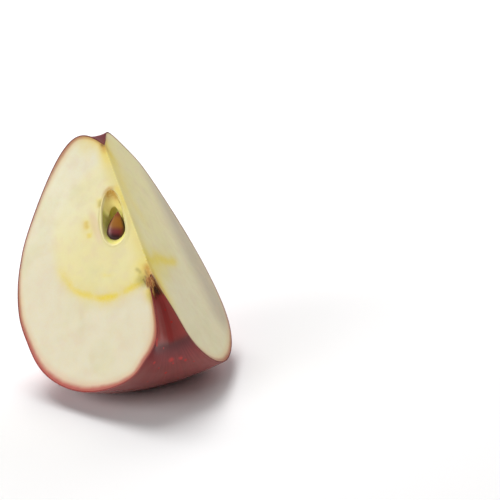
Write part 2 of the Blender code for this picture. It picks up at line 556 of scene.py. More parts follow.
@dataclass(frozen=True)
class Mark:
    """A coloured line or patch in a cut face, such as the yellow veins round the core and the stains at its ends.

    Its width is in millimetres, and its fades are shares of its length.
    """

    tone: Tone
    width: float
    strength: float
    points: tuple[Pair, ...]
    fade_in: float
    fade_out: float
    # How much its width and its strength vary along it
    uneven_width: ClassVar[float] = 0.2
    uneven_strength: ClassVar[float] = 0.15

    def cover(self, places: np.ndarray, wobble: np.ndarray) -> np.ndarray:
        """How strongly the mark colours each place.

        Args:
            places: points on the face, in metres.
            wobble: values from -1 to 1 that make its edge uneven.

        Returns:
            Shares from 0 to 1.
        """
        gap, run = nearest_on_line(places, spline(self.points) * MM)
        along = smooth_step(run, -0.001, self.fade_in) * smooth_step(run, 1.001, 1.0 - self.fade_out)
        width = self.width * MM * (1.0 + self.uneven_width * wobble)
        strength = self.strength * (1.0 + self.uneven_strength * wobble)
        return strength * along * np.exp(-(gap / width) ** 2)


YELLOW, OLIVE, OCHRE, BROWN = Tone.YELLOW, Tone.OLIVE, Tone.OCHRE, Tone.BROWN
MARKS = {
    CutFace.LEFT: (
        # The yellow vein round the core
        Mark(YELLOW, 1.3, 0.50,
             ((24.2, 15.0), (24.2, 11.5), (23.6, 8.8), (22.8, 6.4), (21.6, 3.8)), 0.7, 0.2),
        Mark(YELLOW, 0.9, 0.70, ((23.2, 7.6), (22.3, 4.6), (20.6, 2.2), (18.5, 0.4), (16.5, -1.2)), 0.5, 0.2),
        Mark(YELLOW, 0.9, 0.85,
             ((18.3, 0.2), (16.5, -1.3), (14.0, -2.5), (11.4, -3.3), (8.6, -3.6)), 0.3, 0.3),
        Mark(YELLOW, 0.9, 0.75, ((10.4, -3.4), (8.0, -3.6), (5.9, -3.6), (3.8, -3.7), (2.0, -3.8)), 0.3, 0.1),
        Mark(YELLOW, 2.4, 0.32,
             ((24.2, 13.0), (23.0, 6.6), (17.6, -0.2), (11.0, -3.2), (3.0, -3.4)), 0.4, 0.0),
        Mark(YELLOW, 0.7, 0.30, ((13.6, 4.4), (11.8, 2.7), (9.4, 1.8)), 0.4, 0.4),
        # Small stains left of the seed chamber
        Mark(YELLOW, 0.9, 0.50, ((12.1, 19.8), (12.5, 18.0), (12.8, 16.4)), 0.4, 0.3),
        Mark(YELLOW, 0.7, 0.65, ((12.4, 15.9), (12.7, 15.0), (12.9, 14.0)), 0.4, 0.4),
        Mark(OCHRE, 0.8, 0.28, ((12.1, 19.4), (12.5, 17.8), (12.7, 16.6)), 0.3, 0.3),
        Mark(YELLOW, 2.2, 0.25, ((11.6, 21.0), (12.2, 17.0), (12.4, 12.5)), 0.3, 0.4),
        # Round the seed chamber's mouth
        Mark(YELLOW, 0.8, 0.50, ((1.0, 24.8), (1.0, 22.5), (0.7, 19.5), (0.8, 16.5), (1.1, 13.5)), 0.25, 0.6),
        Mark(OCHRE, 1.0, 0.55, ((2.2, 24.6), (2.6, 23.6), (3.0, 22.8)), 0.5, 0.1),
        Mark(OCHRE, 0.7, 0.40, ((2.4, 23.8), (4.2, 23.6), (5.8, 22.2)), 0.2, 0.6),
        Mark(YELLOW, 1.1, 0.40, ((6.0, 23.2), (6.9, 21.4), (7.5, 19.6)), 0.3, 0.4),
        # A thin olive line of painted shadow outside the raised lip
        Mark(OLIVE, 0.6, 0.35, ((6.3, 22.8), (6.9, 21.4), (7.4, 20.0)), 0.4, 0.4),
        Mark(BROWN, 0.4, 0.35, ((2.2, 23.4), (2.5, 23.0), (3.0, 22.7)), 0.3, 0.2),
        # The scar where the stem was
        Mark(YELLOW, 2.6, 0.50, ((1.2, 4.0), (2.0, 0.0), (3.0, -3.6)), 0.6, 0.1),
        Mark(OLIVE, 1.4, 0.60, ((3.4, -0.8), (2.9, -2.4), (2.4, -4.2), (2.1, -6.0)), 0.5, 0.3),
        Mark(OLIVE, 0.5, 0.50, ((4.0, 0.8), (3.1, -0.4), (2.5, -1.8)), 0.4, 0.3),
        Mark(OCHRE, 1.2, 0.95, ((0.2, 1.0), (0.6, -1.2), (0.9, -3.6)), 0.5, 0.0),
        Mark(BROWN, 0.7, 0.55, ((0.7, -2.6), (1.2, -4.0), (1.6, -5.6), (2.0, -7.6)), 0.3, 0.5),
        Mark(OLIVE, 1.8, 0.22, ((4.4, -1.0), (3.5, -2.8), (2.8, -5.5)), 0.4, 0.4),
        Mark(BROWN, 0.30, 0.35, ((1.0, -1.4), (1.2, -2.4), (1.1, -3.4)), 0.3, 0.3),
        Mark(BROWN, 0.35, 0.75, ((2.1, -2.2), (1.8, -3.4), (1.7, -4.8)), 0.3, 0.3),
        Mark(BROWN, 0.30, 0.75, ((2.8, -2.7), (2.5, -3.8), (2.4, -5.2)), 0.3, 0.3),
        Mark(BROWN, 0.25, 0.30, ((1.2, -0.8), (1.4, -1.9), (1.3, -2.8)), 0.3, 0.3),
        Mark(OLIVE, 0.8, 0.35, ((2.0, -6.5), (2.5, -9.0), (3.0, -12.0)), 0.2, 0.7),
        Mark(YELLOW, 1.2, 0.55, ((2.2, -5.5), (2.8, -8.0), (3.6, -11.0)), 0.2, 0.7),
        # Below the calyx
        Mark(YELLOW, 3.0, 0.30, ((1.0, 36.0), (4.0, 38.5), (9.0, 37.5)), 0.3, 0.4),
        Mark(YELLOW, 1.6, 0.60, ((0.3, 36.0), (0.8, 32.0), (0.9, 27.5)), 0.0, 0.8),
        Mark(OCHRE, 1.0, 0.80, ((0.2, 36.4), (0.4, 35.0), (0.2, 32.6)), 0.0, 0.7),
        Mark(BROWN, 0.5, 0.70, ((0.4, 36.6), (0.5, 36.0), (0.2, 35.0)), 0.0, 0.6),
    ),
    CutFace.RIGHT: (
        Mark(YELLOW, 1.4, 0.80,
             ((0.6, 0.4), (3.2, 1.4), (6.5, 2.9), (11.0, 3.3), (16.0, 4.2), (20.8, 6.8)), 0.1, 0.3),
        Mark(YELLOW, 3.0, 0.45, ((0.6, -0.6), (5.5, 3.0), (12.0, 3.9), (20.0, 6.6)), 0.1, 0.4),
        Mark(YELLOW, 3.2, 0.45, ((2.0, -5.0), (4.5, -1.6), (8.5, 0.2), (12.0, 2.5)), 0.1, 0.4),
        Mark(OCHRE, 1.2, 0.30, ((0.3, 2.5), (0.6, -0.5), (1.2, -3.0)), 0.3, 0.1),
        Mark(YELLOW, 2.2, 0.75, ((0.3, 7.0), (0.6, 2.0), (0.8, -2.6)), 0.6, 0.1),
        Mark(YELLOW, 1.8, 0.85, ((0.5, 0.6), (1.8, -3.6), (4.6, -9.6), (6.2, -14.0)), 0.2, 0.6),
        Mark(OCHRE, 0.9, 0.80, ((0.2, -1.6), (1.5, -4.4), (3.2, -8.0), (5.2, -12.5)), 0.2, 0.7),
        Mark(BROWN, 0.4, 0.80, ((0.1, -2.6), (0.8, -4.4), (2.2, -7.4)), 0.3, 0.6),
        Mark(YELLOW, 2.0, 0.70, ((0.4, 36.0), (1.4, 31.5), (1.8, 26.0)), 0.0, 0.8),
        Mark(YELLOW, 2.2, 0.35, ((2.0, 30.0), (3.0, 22.0), (6.5, 15.0), (7.5, 9.0)), 0.3, 0.4),
        Mark(YELLOW, 4.0, 0.30, ((1.0, 39.0), (2.5, 33.0), (4.0, 27.0), (6.0, 20.0)), 0.1, 0.4),
        Mark(OCHRE, 0.8, 0.60, ((0.3, 36.8), (0.6, 35.0), (0.4, 32.0)), 0.0, 0.7),
    ),
}


@dataclass(frozen=True)
class Bleed:
    """How far the peel's colour has run into the flesh, at places along one face's outline from calyx to stem.

    Warmth goes from 0, pink, to 1, orange brown.
    """

    places: tuple[float, ...]
    strengths: tuple[float, ...]
    widths: tuple[float, ...]
    warmths: tuple[float, ...]

    def along(self, run: np.ndarray) -> dict[str, np.ndarray]:
        """The point values for places along the outline, given as shares from the calyx to the stem.

        Args:
            run: the places.

        Returns:
            A row of values for each of the bleed's names.
        """
        rows = {"bleed": self.strengths, "bleed_width": self.widths, "bleed_warmth": self.warmths}
        return {name: np.interp(run, self.places, row) for name, row in rows.items()}


BLEEDS = {
    CutFace.LEFT: Bleed(
        (0.0, 0.05, 0.12, 0.20, 0.28, 0.36, 0.43, 0.50, 0.58, 0.66, 0.74, 0.80, 0.87, 0.94, 1.0),
        (0.6, 0.80, 0.75, 0.50, 0.40, 0.45, 0.80, 0.95, 1.00, 1.00, 0.95, 0.85, 1.00, 0.85, 0.7),
        (0.6, 1.1, 1.5, 1.0, 0.8, 0.7, 1.1, 1.4, 1.8, 1.9, 1.5, 1.2, 1.5, 0.9, 0.7),
        (0.8, 0.9, 1.0, 0.8, 0.6, 0.5, 0.8, 0.4, 0.1, 0.1, 0.2, 0.3, 0.6, 0.9, 1.0),
    ),
    CutFace.RIGHT: Bleed(
        (0.0, 0.06, 0.14, 0.40, 0.55, 0.62, 0.70, 0.78, 0.86, 0.94, 1.0),
        (0.4, 0.35, 0.25, 0.15, 0.40, 0.80, 0.95, 0.55, 0.35, 0.30, 0.6),
        (0.7, 0.8, 0.8, 0.8, 1.0, 1.4, 1.6, 1.1, 0.8, 0.7, 0.8),
        (1.0, 1.0, 0.9, 0.7, 0.6, 0.8, 0.9, 0.8, 0.8, 1.0, 1.0),
    ),
}


# ---------------------------------------------------------------------------------------------------------------
# Finishes


class Step(Enum):
    """The sorts of node that the finishes are drawn with.

    Each gives the node's type, its settings, its slots in the order that their values come in, and the output that
    it hands on.
    """

    POINT_VALUE = ("ShaderNodeAttribute", {}, ("attribute_name",), "Fac")
    PLACE = ("ShaderNodeTexCoord", {}, (), "Object")
    SPREAD = ("ShaderNodeCombineXYZ", {}, ("X", "Y"), "Vector")
    STRETCH = ("ShaderNodeVectorMath", {"operation": "MULTIPLY"}, (0, 1), "Vector")
    DISTANCE = ("ShaderNodeVectorMath", {"operation": "DISTANCE"}, (0, 1), "Value")
    NOISE = ("ShaderNodeTexNoise", {"Roughness": 0.55}, ("Vector", "Scale", "Detail"), "Fac")
    SPOTS = ("ShaderNodeTexVoronoi", {"feature": "F1"}, ("Vector", "Scale"), "Distance")
    RAMP = (
        "ShaderNodeMapRange",
        {"interpolation_type": "SMOOTHSTEP"},
        ("Value", "From Min", "From Max", "To Min", "To Max"),
        "Result",
    )
    TIMES = ("ShaderNodeMath", {"operation": "MULTIPLY"}, (0, 1), "Value")
    TIMES_PLUS = ("ShaderNodeMath", {"operation": "MULTIPLY_ADD"}, (0, 1, 2), "Value")
    DIVIDE = ("ShaderNodeMath", {"operation": "DIVIDE"}, (0, 1), "Value")
    MIX = ("ShaderNodeMix", {"data_type": "RGBA", "clamp_factor": True}, (0, 6, 7), 2)
    BUMP = ("ShaderNodeBump", {}, ("Height", "Strength", "Distance"), "Normal")
    SHADER = ("ShaderNodeBsdfPrincipled", {}, (), "BSDF")


def add_node(tree: bpy.types.NodeTree, step: Step, *values: Any, **named: Any) -> bpy.types.NodeSocket:
    """Add a node with its settings and its links.

    Args:
        tree: the node tree that it joins.
        step: which sort of node it is.
        *values: what its slots get, in order: an output socket to link, or a plain value.
        **named: the same for inputs given by name, with _ for each space.

    Returns:
        The output that it hands on.
    """
    kind, settings, slots, output = step.value
    node = tree.nodes.new(kind)
    by_name = {name.replace("_", " "): value for name, value in named.items()}
    for slot, value in {**settings, **dict(zip(slots, values)), **by_name}.items():
        if isinstance(value, bpy.types.NodeSocket):
            tree.links.new(value, node.inputs[slot])
        elif isinstance(slot, int) or slot in node.inputs:
            node.inputs[slot].default_value = value
        else:
            setattr(node, slot, value)
    return node.outputs[output]


class Finish:
    """A material that its own draw method adds the nodes of."""

    name: ClassVar[str]

    def draw(self, add: Adder) -> bpy.types.NodeSocket:
        """Add the nodes and give the shader's output. Every finish has its own way.

        Args:
            add: add_node for the tree of the material.

        Returns:
            The shader's output.
        """
        raise NotImplementedError

    def material(self) -> bpy.types.Material:
        """Build the material.

        Returns:
            The new material, with the shader that draw gives as its surface.
        """
        material = bpy.data.materials.new(self.name)
        material.use_nodes = True
        tree = material.node_tree
        tree.nodes.remove(tree.nodes["Principled BSDF"])
        shader = self.draw(partial(add_node, tree))
        tree.links.new(shader, tree.nodes["Material Output"].inputs["Surface"])
        return material


@dataclass(frozen=True)
class CutFleshFinish(Finish):
    """Raw apple flesh, sliced with a knife.

    Water-filled cells under a thin film of juice: light sinks in a little and comes out soft, and the film gives a
    broad, weak sheen. It is creamy outside the core line and yellower inside it, and the peel's red bleeds into it.
    """

    name: ClassVar[str] = "raw_apple_flesh"
    outer: str = "#EFE6C8"
    inner: str = "#F5EAAE"
    # Painted light: the left face is paler towards its top
    upper: str = "#FBF5D6"
    # Painted shade: the right face is greyer towards its outer part
    dry: str = "#C3B298"
    blush: str = "#EED8BC"
    core: str = "#F0DE80"
    green: str = "#DBD79C"
    yellow: str = "#F4DC48"
    olive: str = "#A09038"
    ochre: str = "#D0982C"
    brown: str = "#6A3A1A"
    lip: str = "#F0E29C"
    pink: str = "#EDD6B0"
    bleed_pale_pink: str = "#E9BFA0"
    bleed_pink: str = "#C65A4E"
    bleed_pale_warm: str = "#E2BC7C"
    bleed_warm: str = "#B05A3A"
    broad_size: float = 9.0 * MM
    mottle_size: float = 3.5 * MM
    grain_size: float = 0.55 * MM
    fibre_size: float = 0.30 * MM
    ior: float = 1.38

    def draw(self, add: Adder) -> bpy.types.NodeSocket:
        """Add the nodes. They read the point values that CutFlesh.values gives.

        Args:
            add: add_node for the tree of the material.

        Returns:
            The shader's output.
        """
        place = add(Step.PLACE)
        broad = add(Step.NOISE, place, 1.0 / self.broad_size, 2.0)
        mottle = add(Step.NOISE, place, 1.0 / self.mottle_size, 3.0)
        fine = add(Step.NOISE, place, 1.0 / self.grain_size, 2.0)
        fibre = add(Step.NOISE, place, 1.0 / self.fibre_size, 3.0)
        names = ("rim", "core", "lip", "inner", "upper", "dry", "pink")
        rim, core, lip, inner, upper, dry, pink = (add(Step.POINT_VALUE, name) for name in names)
        bleed, width, warmth = (add(Step.POINT_VALUE, name) for name in ("bleed", "bleed_width", "bleed_warmth"))

        edge = add(Step.TIMES_PLUS, add(Step.DIVIDE, rim, width), 1.0, -0.25)
        ragged = add(Step.TIMES_PLUS, mottle, 0.5, edge)
        pale = add(Step.MIX, warmth, srgb(self.bleed_pale_pink), srgb(self.bleed_pale_warm))
        strong = add(Step.MIX, warmth, srgb(self.bleed_pink), srgb(self.bleed_warm))
        layers = [
            (inner, srgb(self.inner)),
            # Painted light: paler towards the left face's top
            (upper, srgb(self.upper)),
            # Painted shade: greyer on the right face's outer part
            (dry, srgb(self.dry)),
            (add(Step.RAMP, mottle, 0.42, 0.72, 0.0, 0.28), srgb(self.blush)),
            (add(Step.RAMP, broad, 0.48, 0.75, 0.0, 0.25), srgb(self.green)),
            (add(Step.RAMP, fine, 0.40, 0.75, 0.0, 0.10), srgb(self.core)),
            (add(Step.RAMP, core, 0.0, 4.5, 0.65, 0.0), srgb(self.core)),
            (pink, srgb(self.pink)),
            (add(Step.RAMP, lip, 0.1, 0.7, 0.6, 0.0), srgb(self.lip)),
            (add(Step.TIMES, add(Step.RAMP, ragged, 0.2, 2.0, 1.0, 0.0), add(Step.TIMES, bleed, 0.8)), pale),
            (add(Step.TIMES, add(Step.RAMP, ragged, 0.1, 0.95, 1.0, 0.0), bleed), strong),
        ]
        for tone, code in zip(Tone, (self.yellow, self.olive, self.ochre, self.brown)):
            grain, least, most = (fibre, 0.65, 1.15) if tone is Tone.BROWN else (fine, 0.9, 1.06)
            patchy = add(Step.RAMP, grain, 0.25, 0.7, least, most)
            layers.append((add(Step.TIMES, add(Step.POINT_VALUE, tone.value), patchy), srgb(code)))
        colour = srgb(self.outer)
        for share, over in layers:
            colour = add(Step.MIX, share, colour, over)
        return add(
            Step.SHADER,
            Base_Color=colour,
            Roughness=add(Step.RAMP, mottle, 0.3, 0.7, 0.40, 0.55),
            Normal=add(Step.BUMP, fine, 0.15, 0.10 * MM),
            IOR=self.ior,
            Subsurface_Weight=0.35,
            Subsurface_Radius=(1.0, 0.72, 0.38),
            Subsurface_Scale=0.7 * MM,
        )


@dataclass(frozen=True)
class PeelFinish(Finish):
    """The waxy skin of a dark red apple.

    A layer of red cells under a clear, waxy cuticle: a saturated, deep colour with a smooth, bright gloss over it.
    Darker streaks run from the calyx to the stem, with small pale pores between them and a few brighter red flecks.
    Painted reflection lays greyish bands and a film over it, painted light lightens the stem cavity's wall and
    painted shade darkens the crease at the cavity's mouth.
    """

    name: ClassVar[str] = "waxy_apple_peel"
    deep: str = "#86191F"
    bright: str = "#A62E30"
    shade: str = "#5C0F18"
    # Painted light: a lighter coral red for the stem cavity's wall
    glow: str = "#E4665E"
    # Painted reflection: greyish bands down the stem cavity and a grey film over the skin beyond it
    painted_reflection: str = "#A46862"
    cut_pink: str = "#A03630"
    cut_warm: str = "#702A1E"
    fleck: str = "#E4403A"
    pore: str = "#B8685A"
    russet: str = "#74402A"
    # Painted shade along the crease at the stem cavity's mouth
    crease: str = "#501418"
    hollow: str = "#641A22"
    hollow_end: str = "#6A2014"
    streak_width: float = 0.9 * MM
    streak_length: float = 16.0 * MM
    patch_size: float = 14.0 * MM
    haze_size: float = 2.5 * MM
    fleck_grain: float = 0.5 * MM
    skin_grain: float = 0.6 * MM
    pore_spacing: float = 4.2 * MM
    pore_radius: float = 0.20 * MM
    ior: float = 1.45
    flecks: tuple[tuple[Vector, float], ...] = ()

    def draw(self, add: Adder) -> bpy.types.NodeSocket:
        """Add the nodes. They read the point values that Peel gives, with to_stem and to_calyx in millimetres.

        Args:
            add: add_node for the tree of the material.

        Returns:
            The shader's output.
        """
        place = add(Step.PLACE)
        names = ("around", "run", "to_stem", "to_calyx", "painted_reflection", "crease")
        around, run, to_stem, to_calyx, painted_reflection, crease = (add(Step.POINT_VALUE, name) for name in names)
        cut, warmth, rough = (add(Step.POINT_VALUE, name) for name in ("cut", "cut_warmth", "rough"))
        stretch = (1.0, self.streak_width / self.streak_length, 1.0)
        skin = add(Step.STRETCH, add(Step.SPREAD, around, run), stretch)
        streak = add(Step.NOISE, skin, 1.0 / self.streak_width, 2.5)
        patch = add(Step.NOISE, place, 1.0 / self.patch_size, 3.0)
        haze = add(Step.NOISE, place, 1.0 / self.haze_size, 3.0)
        uneven = add(Step.NOISE, place, 1.0 / self.fleck_grain, 2.0)
        pores = add(Step.SPOTS, place, 1.0 / self.pore_spacing)
        pore_edge = self.pore_radius / self.pore_spacing

        layers = [
            (add(Step.RAMP, add(Step.TIMES_PLUS, patch, 0.6, streak), 0.55, 1.05), self.bright),
            (add(Step.RAMP, pores, 0.4 * pore_edge, 1.6 * pore_edge, 0.35, 0.0), self.pore),
            (add(Step.RAMP, to_stem, 30.0, 48.0, 0.0, 0.5), self.shade),
            # Painted reflection, greyish
            (add(Step.TIMES, painted_reflection, add(Step.RAMP, haze, 0.2, 0.8, 0.85, 1.1)), self.painted_reflection),
            # Painted light lightens the stem cavity's wall
            (add(Step.RAMP, to_stem, 15.0, 18.0, 0.42, 0.0), self.glow),
            # Painted shade along the crease at the stem cavity's mouth
            (crease, self.crease),
        ]
        for middle, radius in self.flecks:
            ragged = add(Step.TIMES_PLUS, uneven, 0.9 * radius, add(Step.DISTANCE, place, middle))
            layers.append((add(Step.RAMP, ragged, 0.6 * radius, 1.45 * radius, 0.85, 0.0), self.fleck))
        layers += [
            (add(Step.RAMP, to_stem, 1.8, 5.0, 0.75, 0.0), self.russet),
            (add(Step.RAMP, to_calyx, 5.0, 8.0, 0.95, 0.0), self.hollow),
            (add(Step.RAMP, to_calyx, 1.5, 4.0, 1.0, 0.0), self.hollow_end),
        ]
        colour = srgb(self.deep)
        for share, code in layers:
            colour = add(Step.MIX, share, colour, srgb(code))
        edge = add(Step.MIX, warmth, srgb(self.cut_pink), srgb(self.cut_warm))
        return add(
            Step.SHADER,
            Base_Color=add(Step.MIX, add(Step.TIMES, cut, 0.9), colour, edge),
            Roughness=add(Step.RAMP, rough, 0.0, 1.0, 0.24, 0.85),
            Normal=add(Step.BUMP, add(Step.NOISE, place, 1.0 / self.skin_grain, 2.0), 0.05, 0.06 * MM),
            IOR=self.ior,
            Coat_Weight=0.1,
            Coat_Roughness=0.12,
        )


@dataclass(frozen=True)
class LiningFinish(Finish):
    """The papery wall of an apple's seed chamber.

    A thin, tough skin with a satin shine: straw yellow where light reaches it, greener deep inside, and stained brown
    at the calyx end.
    """

    name: ClassVar[str] = "seed_chamber_lining"
    straw: str = "#F4E084"
    olive: str = "#F6EA8C"
    green: str = "#E8EC78"
    lip: str = "#FBEFB0"
    line: str = "#BE9C40"
    stain: str = "#C8983E"
    cloud_size: float = 1.8 * MM
    grain_width: float = 0.45 * MM
    ior: float = 1.42

    def draw(self, add: Adder) -> bpy.types.NodeSocket:
        """Add the nodes. They read the point values that ChamberLining gives.

        Args:
            add: add_node for the tree of the material.

        Returns:
            The shader's output.
        """
        place = add(Step.PLACE)
        names = ("deep", "hood", "lip", "line", "stain")
        deep, hood, lip, line, stain = (add(Step.POINT_VALUE, name) for name in names)
        cloud = add(Step.NOISE, place, 1.0 / self.cloud_size, 2.0)
        grain = add(Step.NOISE, place, 1.0 / self.grain_width, 3.0)
        layers = (
            (add(Step.RAMP, cloud, 0.4, 0.7, 0.0, 0.8), self.green),
            (hood, self.straw),
            (lip, self.lip),
            (add(Step.TIMES, line, add(Step.RAMP, grain, 0.3, 0.6, 0.4, 1.0)), self.line),
            (add(Step.TIMES, stain, add(Step.RAMP, grain, 0.3, 0.7, 0.65, 1.0)), self.stain),
        )
        colour = srgb(self.olive)
        for share, code in layers:
            colour = add(Step.MIX, share, colour, srgb(code))
        return add(
            Step.SHADER,
            Base_Color=colour,
            Roughness=add(Step.RAMP, deep, 0.0, 0.5, 0.58, 0.48),
            Specular_IOR_Level=0.3,
            Normal=add(Step.BUMP, grain, 0.2, 0.10 * MM),
            IOR=self.ior,
        )


@dataclass(frozen=True)
class SeedCoatFinish(Finish):
    """A ripe apple seed's hard coat.

    Smooth and polished, with faint lines along its length. Chestnut with an orange glow towards the tip, wine red in
    the middle and nearly black at the blunt end; painted shade makes it nearly black round the edges too.
    """

    name: ClassVar[str] = "apple_seed_coat"
    tip: str = "#94482A"
    glow: str = "#AC6E26"
    middle: str = "#863234"
    blunt: str = "#3A1214"
    # Painted shade round the seed's edges; the same colour draws its fine dark lines
    edge: str = "#3A1610"
    line_width: float = 0.25 * MM
    lines_along: float = 4.0
    ior: float = 1.5

    def draw(self, add: Adder) -> bpy.types.NodeSocket:
        """Add the nodes. They read the point values that Seed gives.

        Args:
            add: add_node for the tree of the material.

        Returns:
            The shader's output.
        """
        length, across, girth = (add(Step.POINT_VALUE, name) for name in ("length", "across", "girth"))
        stretch = (1.0 / self.line_width, self.lines_along, 1.0)
        lines = add(Step.NOISE, add(Step.STRETCH, add(Step.SPREAD, girth, length), stretch), 1.0, 3.0)
        wavy = add(Step.TIMES_PLUS, lines, 0.12, length)
        layers = (
            (add(Step.RAMP, wavy, 0.40, 0.60), self.glow),
            (add(Step.RAMP, wavy, 0.80, 0.98), self.tip),
            (add(Step.RAMP, wavy, 0.20, 0.40, 1.0, 0.0), self.blunt),
            # Painted shade darkens the seed round its edges
            (add(Step.RAMP, across, 0.55, 0.95), self.edge),
            (add(Step.RAMP, lines, 0.55, 0.8, 0.0, 0.3), self.edge),
        )
        colour = srgb(self.middle)
        for share, code in layers:
            colour = add(Step.MIX, share, colour, srgb(code))
        return add(
            Step.SHADER,
            Base_Color=colour,
            Roughness=add(Step.RAMP, lines, 0.3, 0.7, 0.34, 0.46),
            Normal=add(Step.BUMP, lines, 0.12, 0.05 * MM),
            IOR=self.ior,
            Coat_Weight=0.08,
            Coat_Roughness=0.25,
        )


@dataclass(frozen=True)
class DriedFibreFinish(Finish):
    """Dried plant fibre, torn from the stem: matt, from ochre and pinkish tan to nearly black."""

    name: ClassVar[str] = "dried_stem_fibre"
    dark: str = "#3C1A14"
    rust: str = "#A4602A"
    tan: str = "#D09C54"
    grain_size: float = 0.4 * MM
    strand_size: float = 0.15 * MM

    def draw(self, add: Adder) -> bpy.types.NodeSocket:
        """Add the nodes. They read the point value that StemFibres gives.

        Args:
            add: add_node for the tree of the material.

        Returns:
            The shader's output.
        """
        place = add(Step.PLACE)
        tone = add(Step.TIMES_PLUS, add(Step.POINT_VALUE, "tone"), 1.0, -0.25)
        tone = add(Step.TIMES_PLUS, add(Step.NOISE, place, 1.0 / self.grain_size, 2.0), 0.5, tone)
        strands = add(Step.NOISE, place, 1.0 / self.strand_size, 2.0)
        colour = add(Step.MIX, add(Step.RAMP, tone, 0.0, 0.5), srgb(self.dark), srgb(self.rust))
        colour = add(Step.MIX, add(Step.RAMP, tone, 0.5, 1.0), colour, srgb(self.tan))
        return add(Step.SHADER, Base_Color=colour, Roughness=0.7, Normal=add(Step.BUMP, strands, 0.3, 0.05 * MM))


@dataclass(frozen=True)
class BackdropFinish(Finish):
    """Matt white paper: it scatters light evenly and has no shine."""

    name: ClassVar[str] = "white_backdrop_paper"
    white: str = "#FBFAFA"

    def draw(self, add: Adder) -> bpy.types.NodeSocket:
        """Add the shader."""
        return add(Step.SHADER, Base_Color=srgb(self.white), Roughness=0.9, Specular_IOR_Level=0.0)


# ---------------------------------------------------------------------------------------------------------------
# Pieces


def settle(piece: bpy.types.Object, slot: str, material: bpy.types.Material, *nodes: str) -> bpy.types.Object:
    """Give a piece its material and its body, and hide the frame's nodes that it stands for.

    Args:
        piece: the finished object, in row coordinates.
        slot: a material slot's name, which is not used.
        material: what it is made of.
        *nodes: the frame's nodes that it replaces.

    Returns:
        The piece.
    """
    piece.data.materials.append(material)
    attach(piece, BODY)
    if nodes:
        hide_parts(*nodes)
    return piece


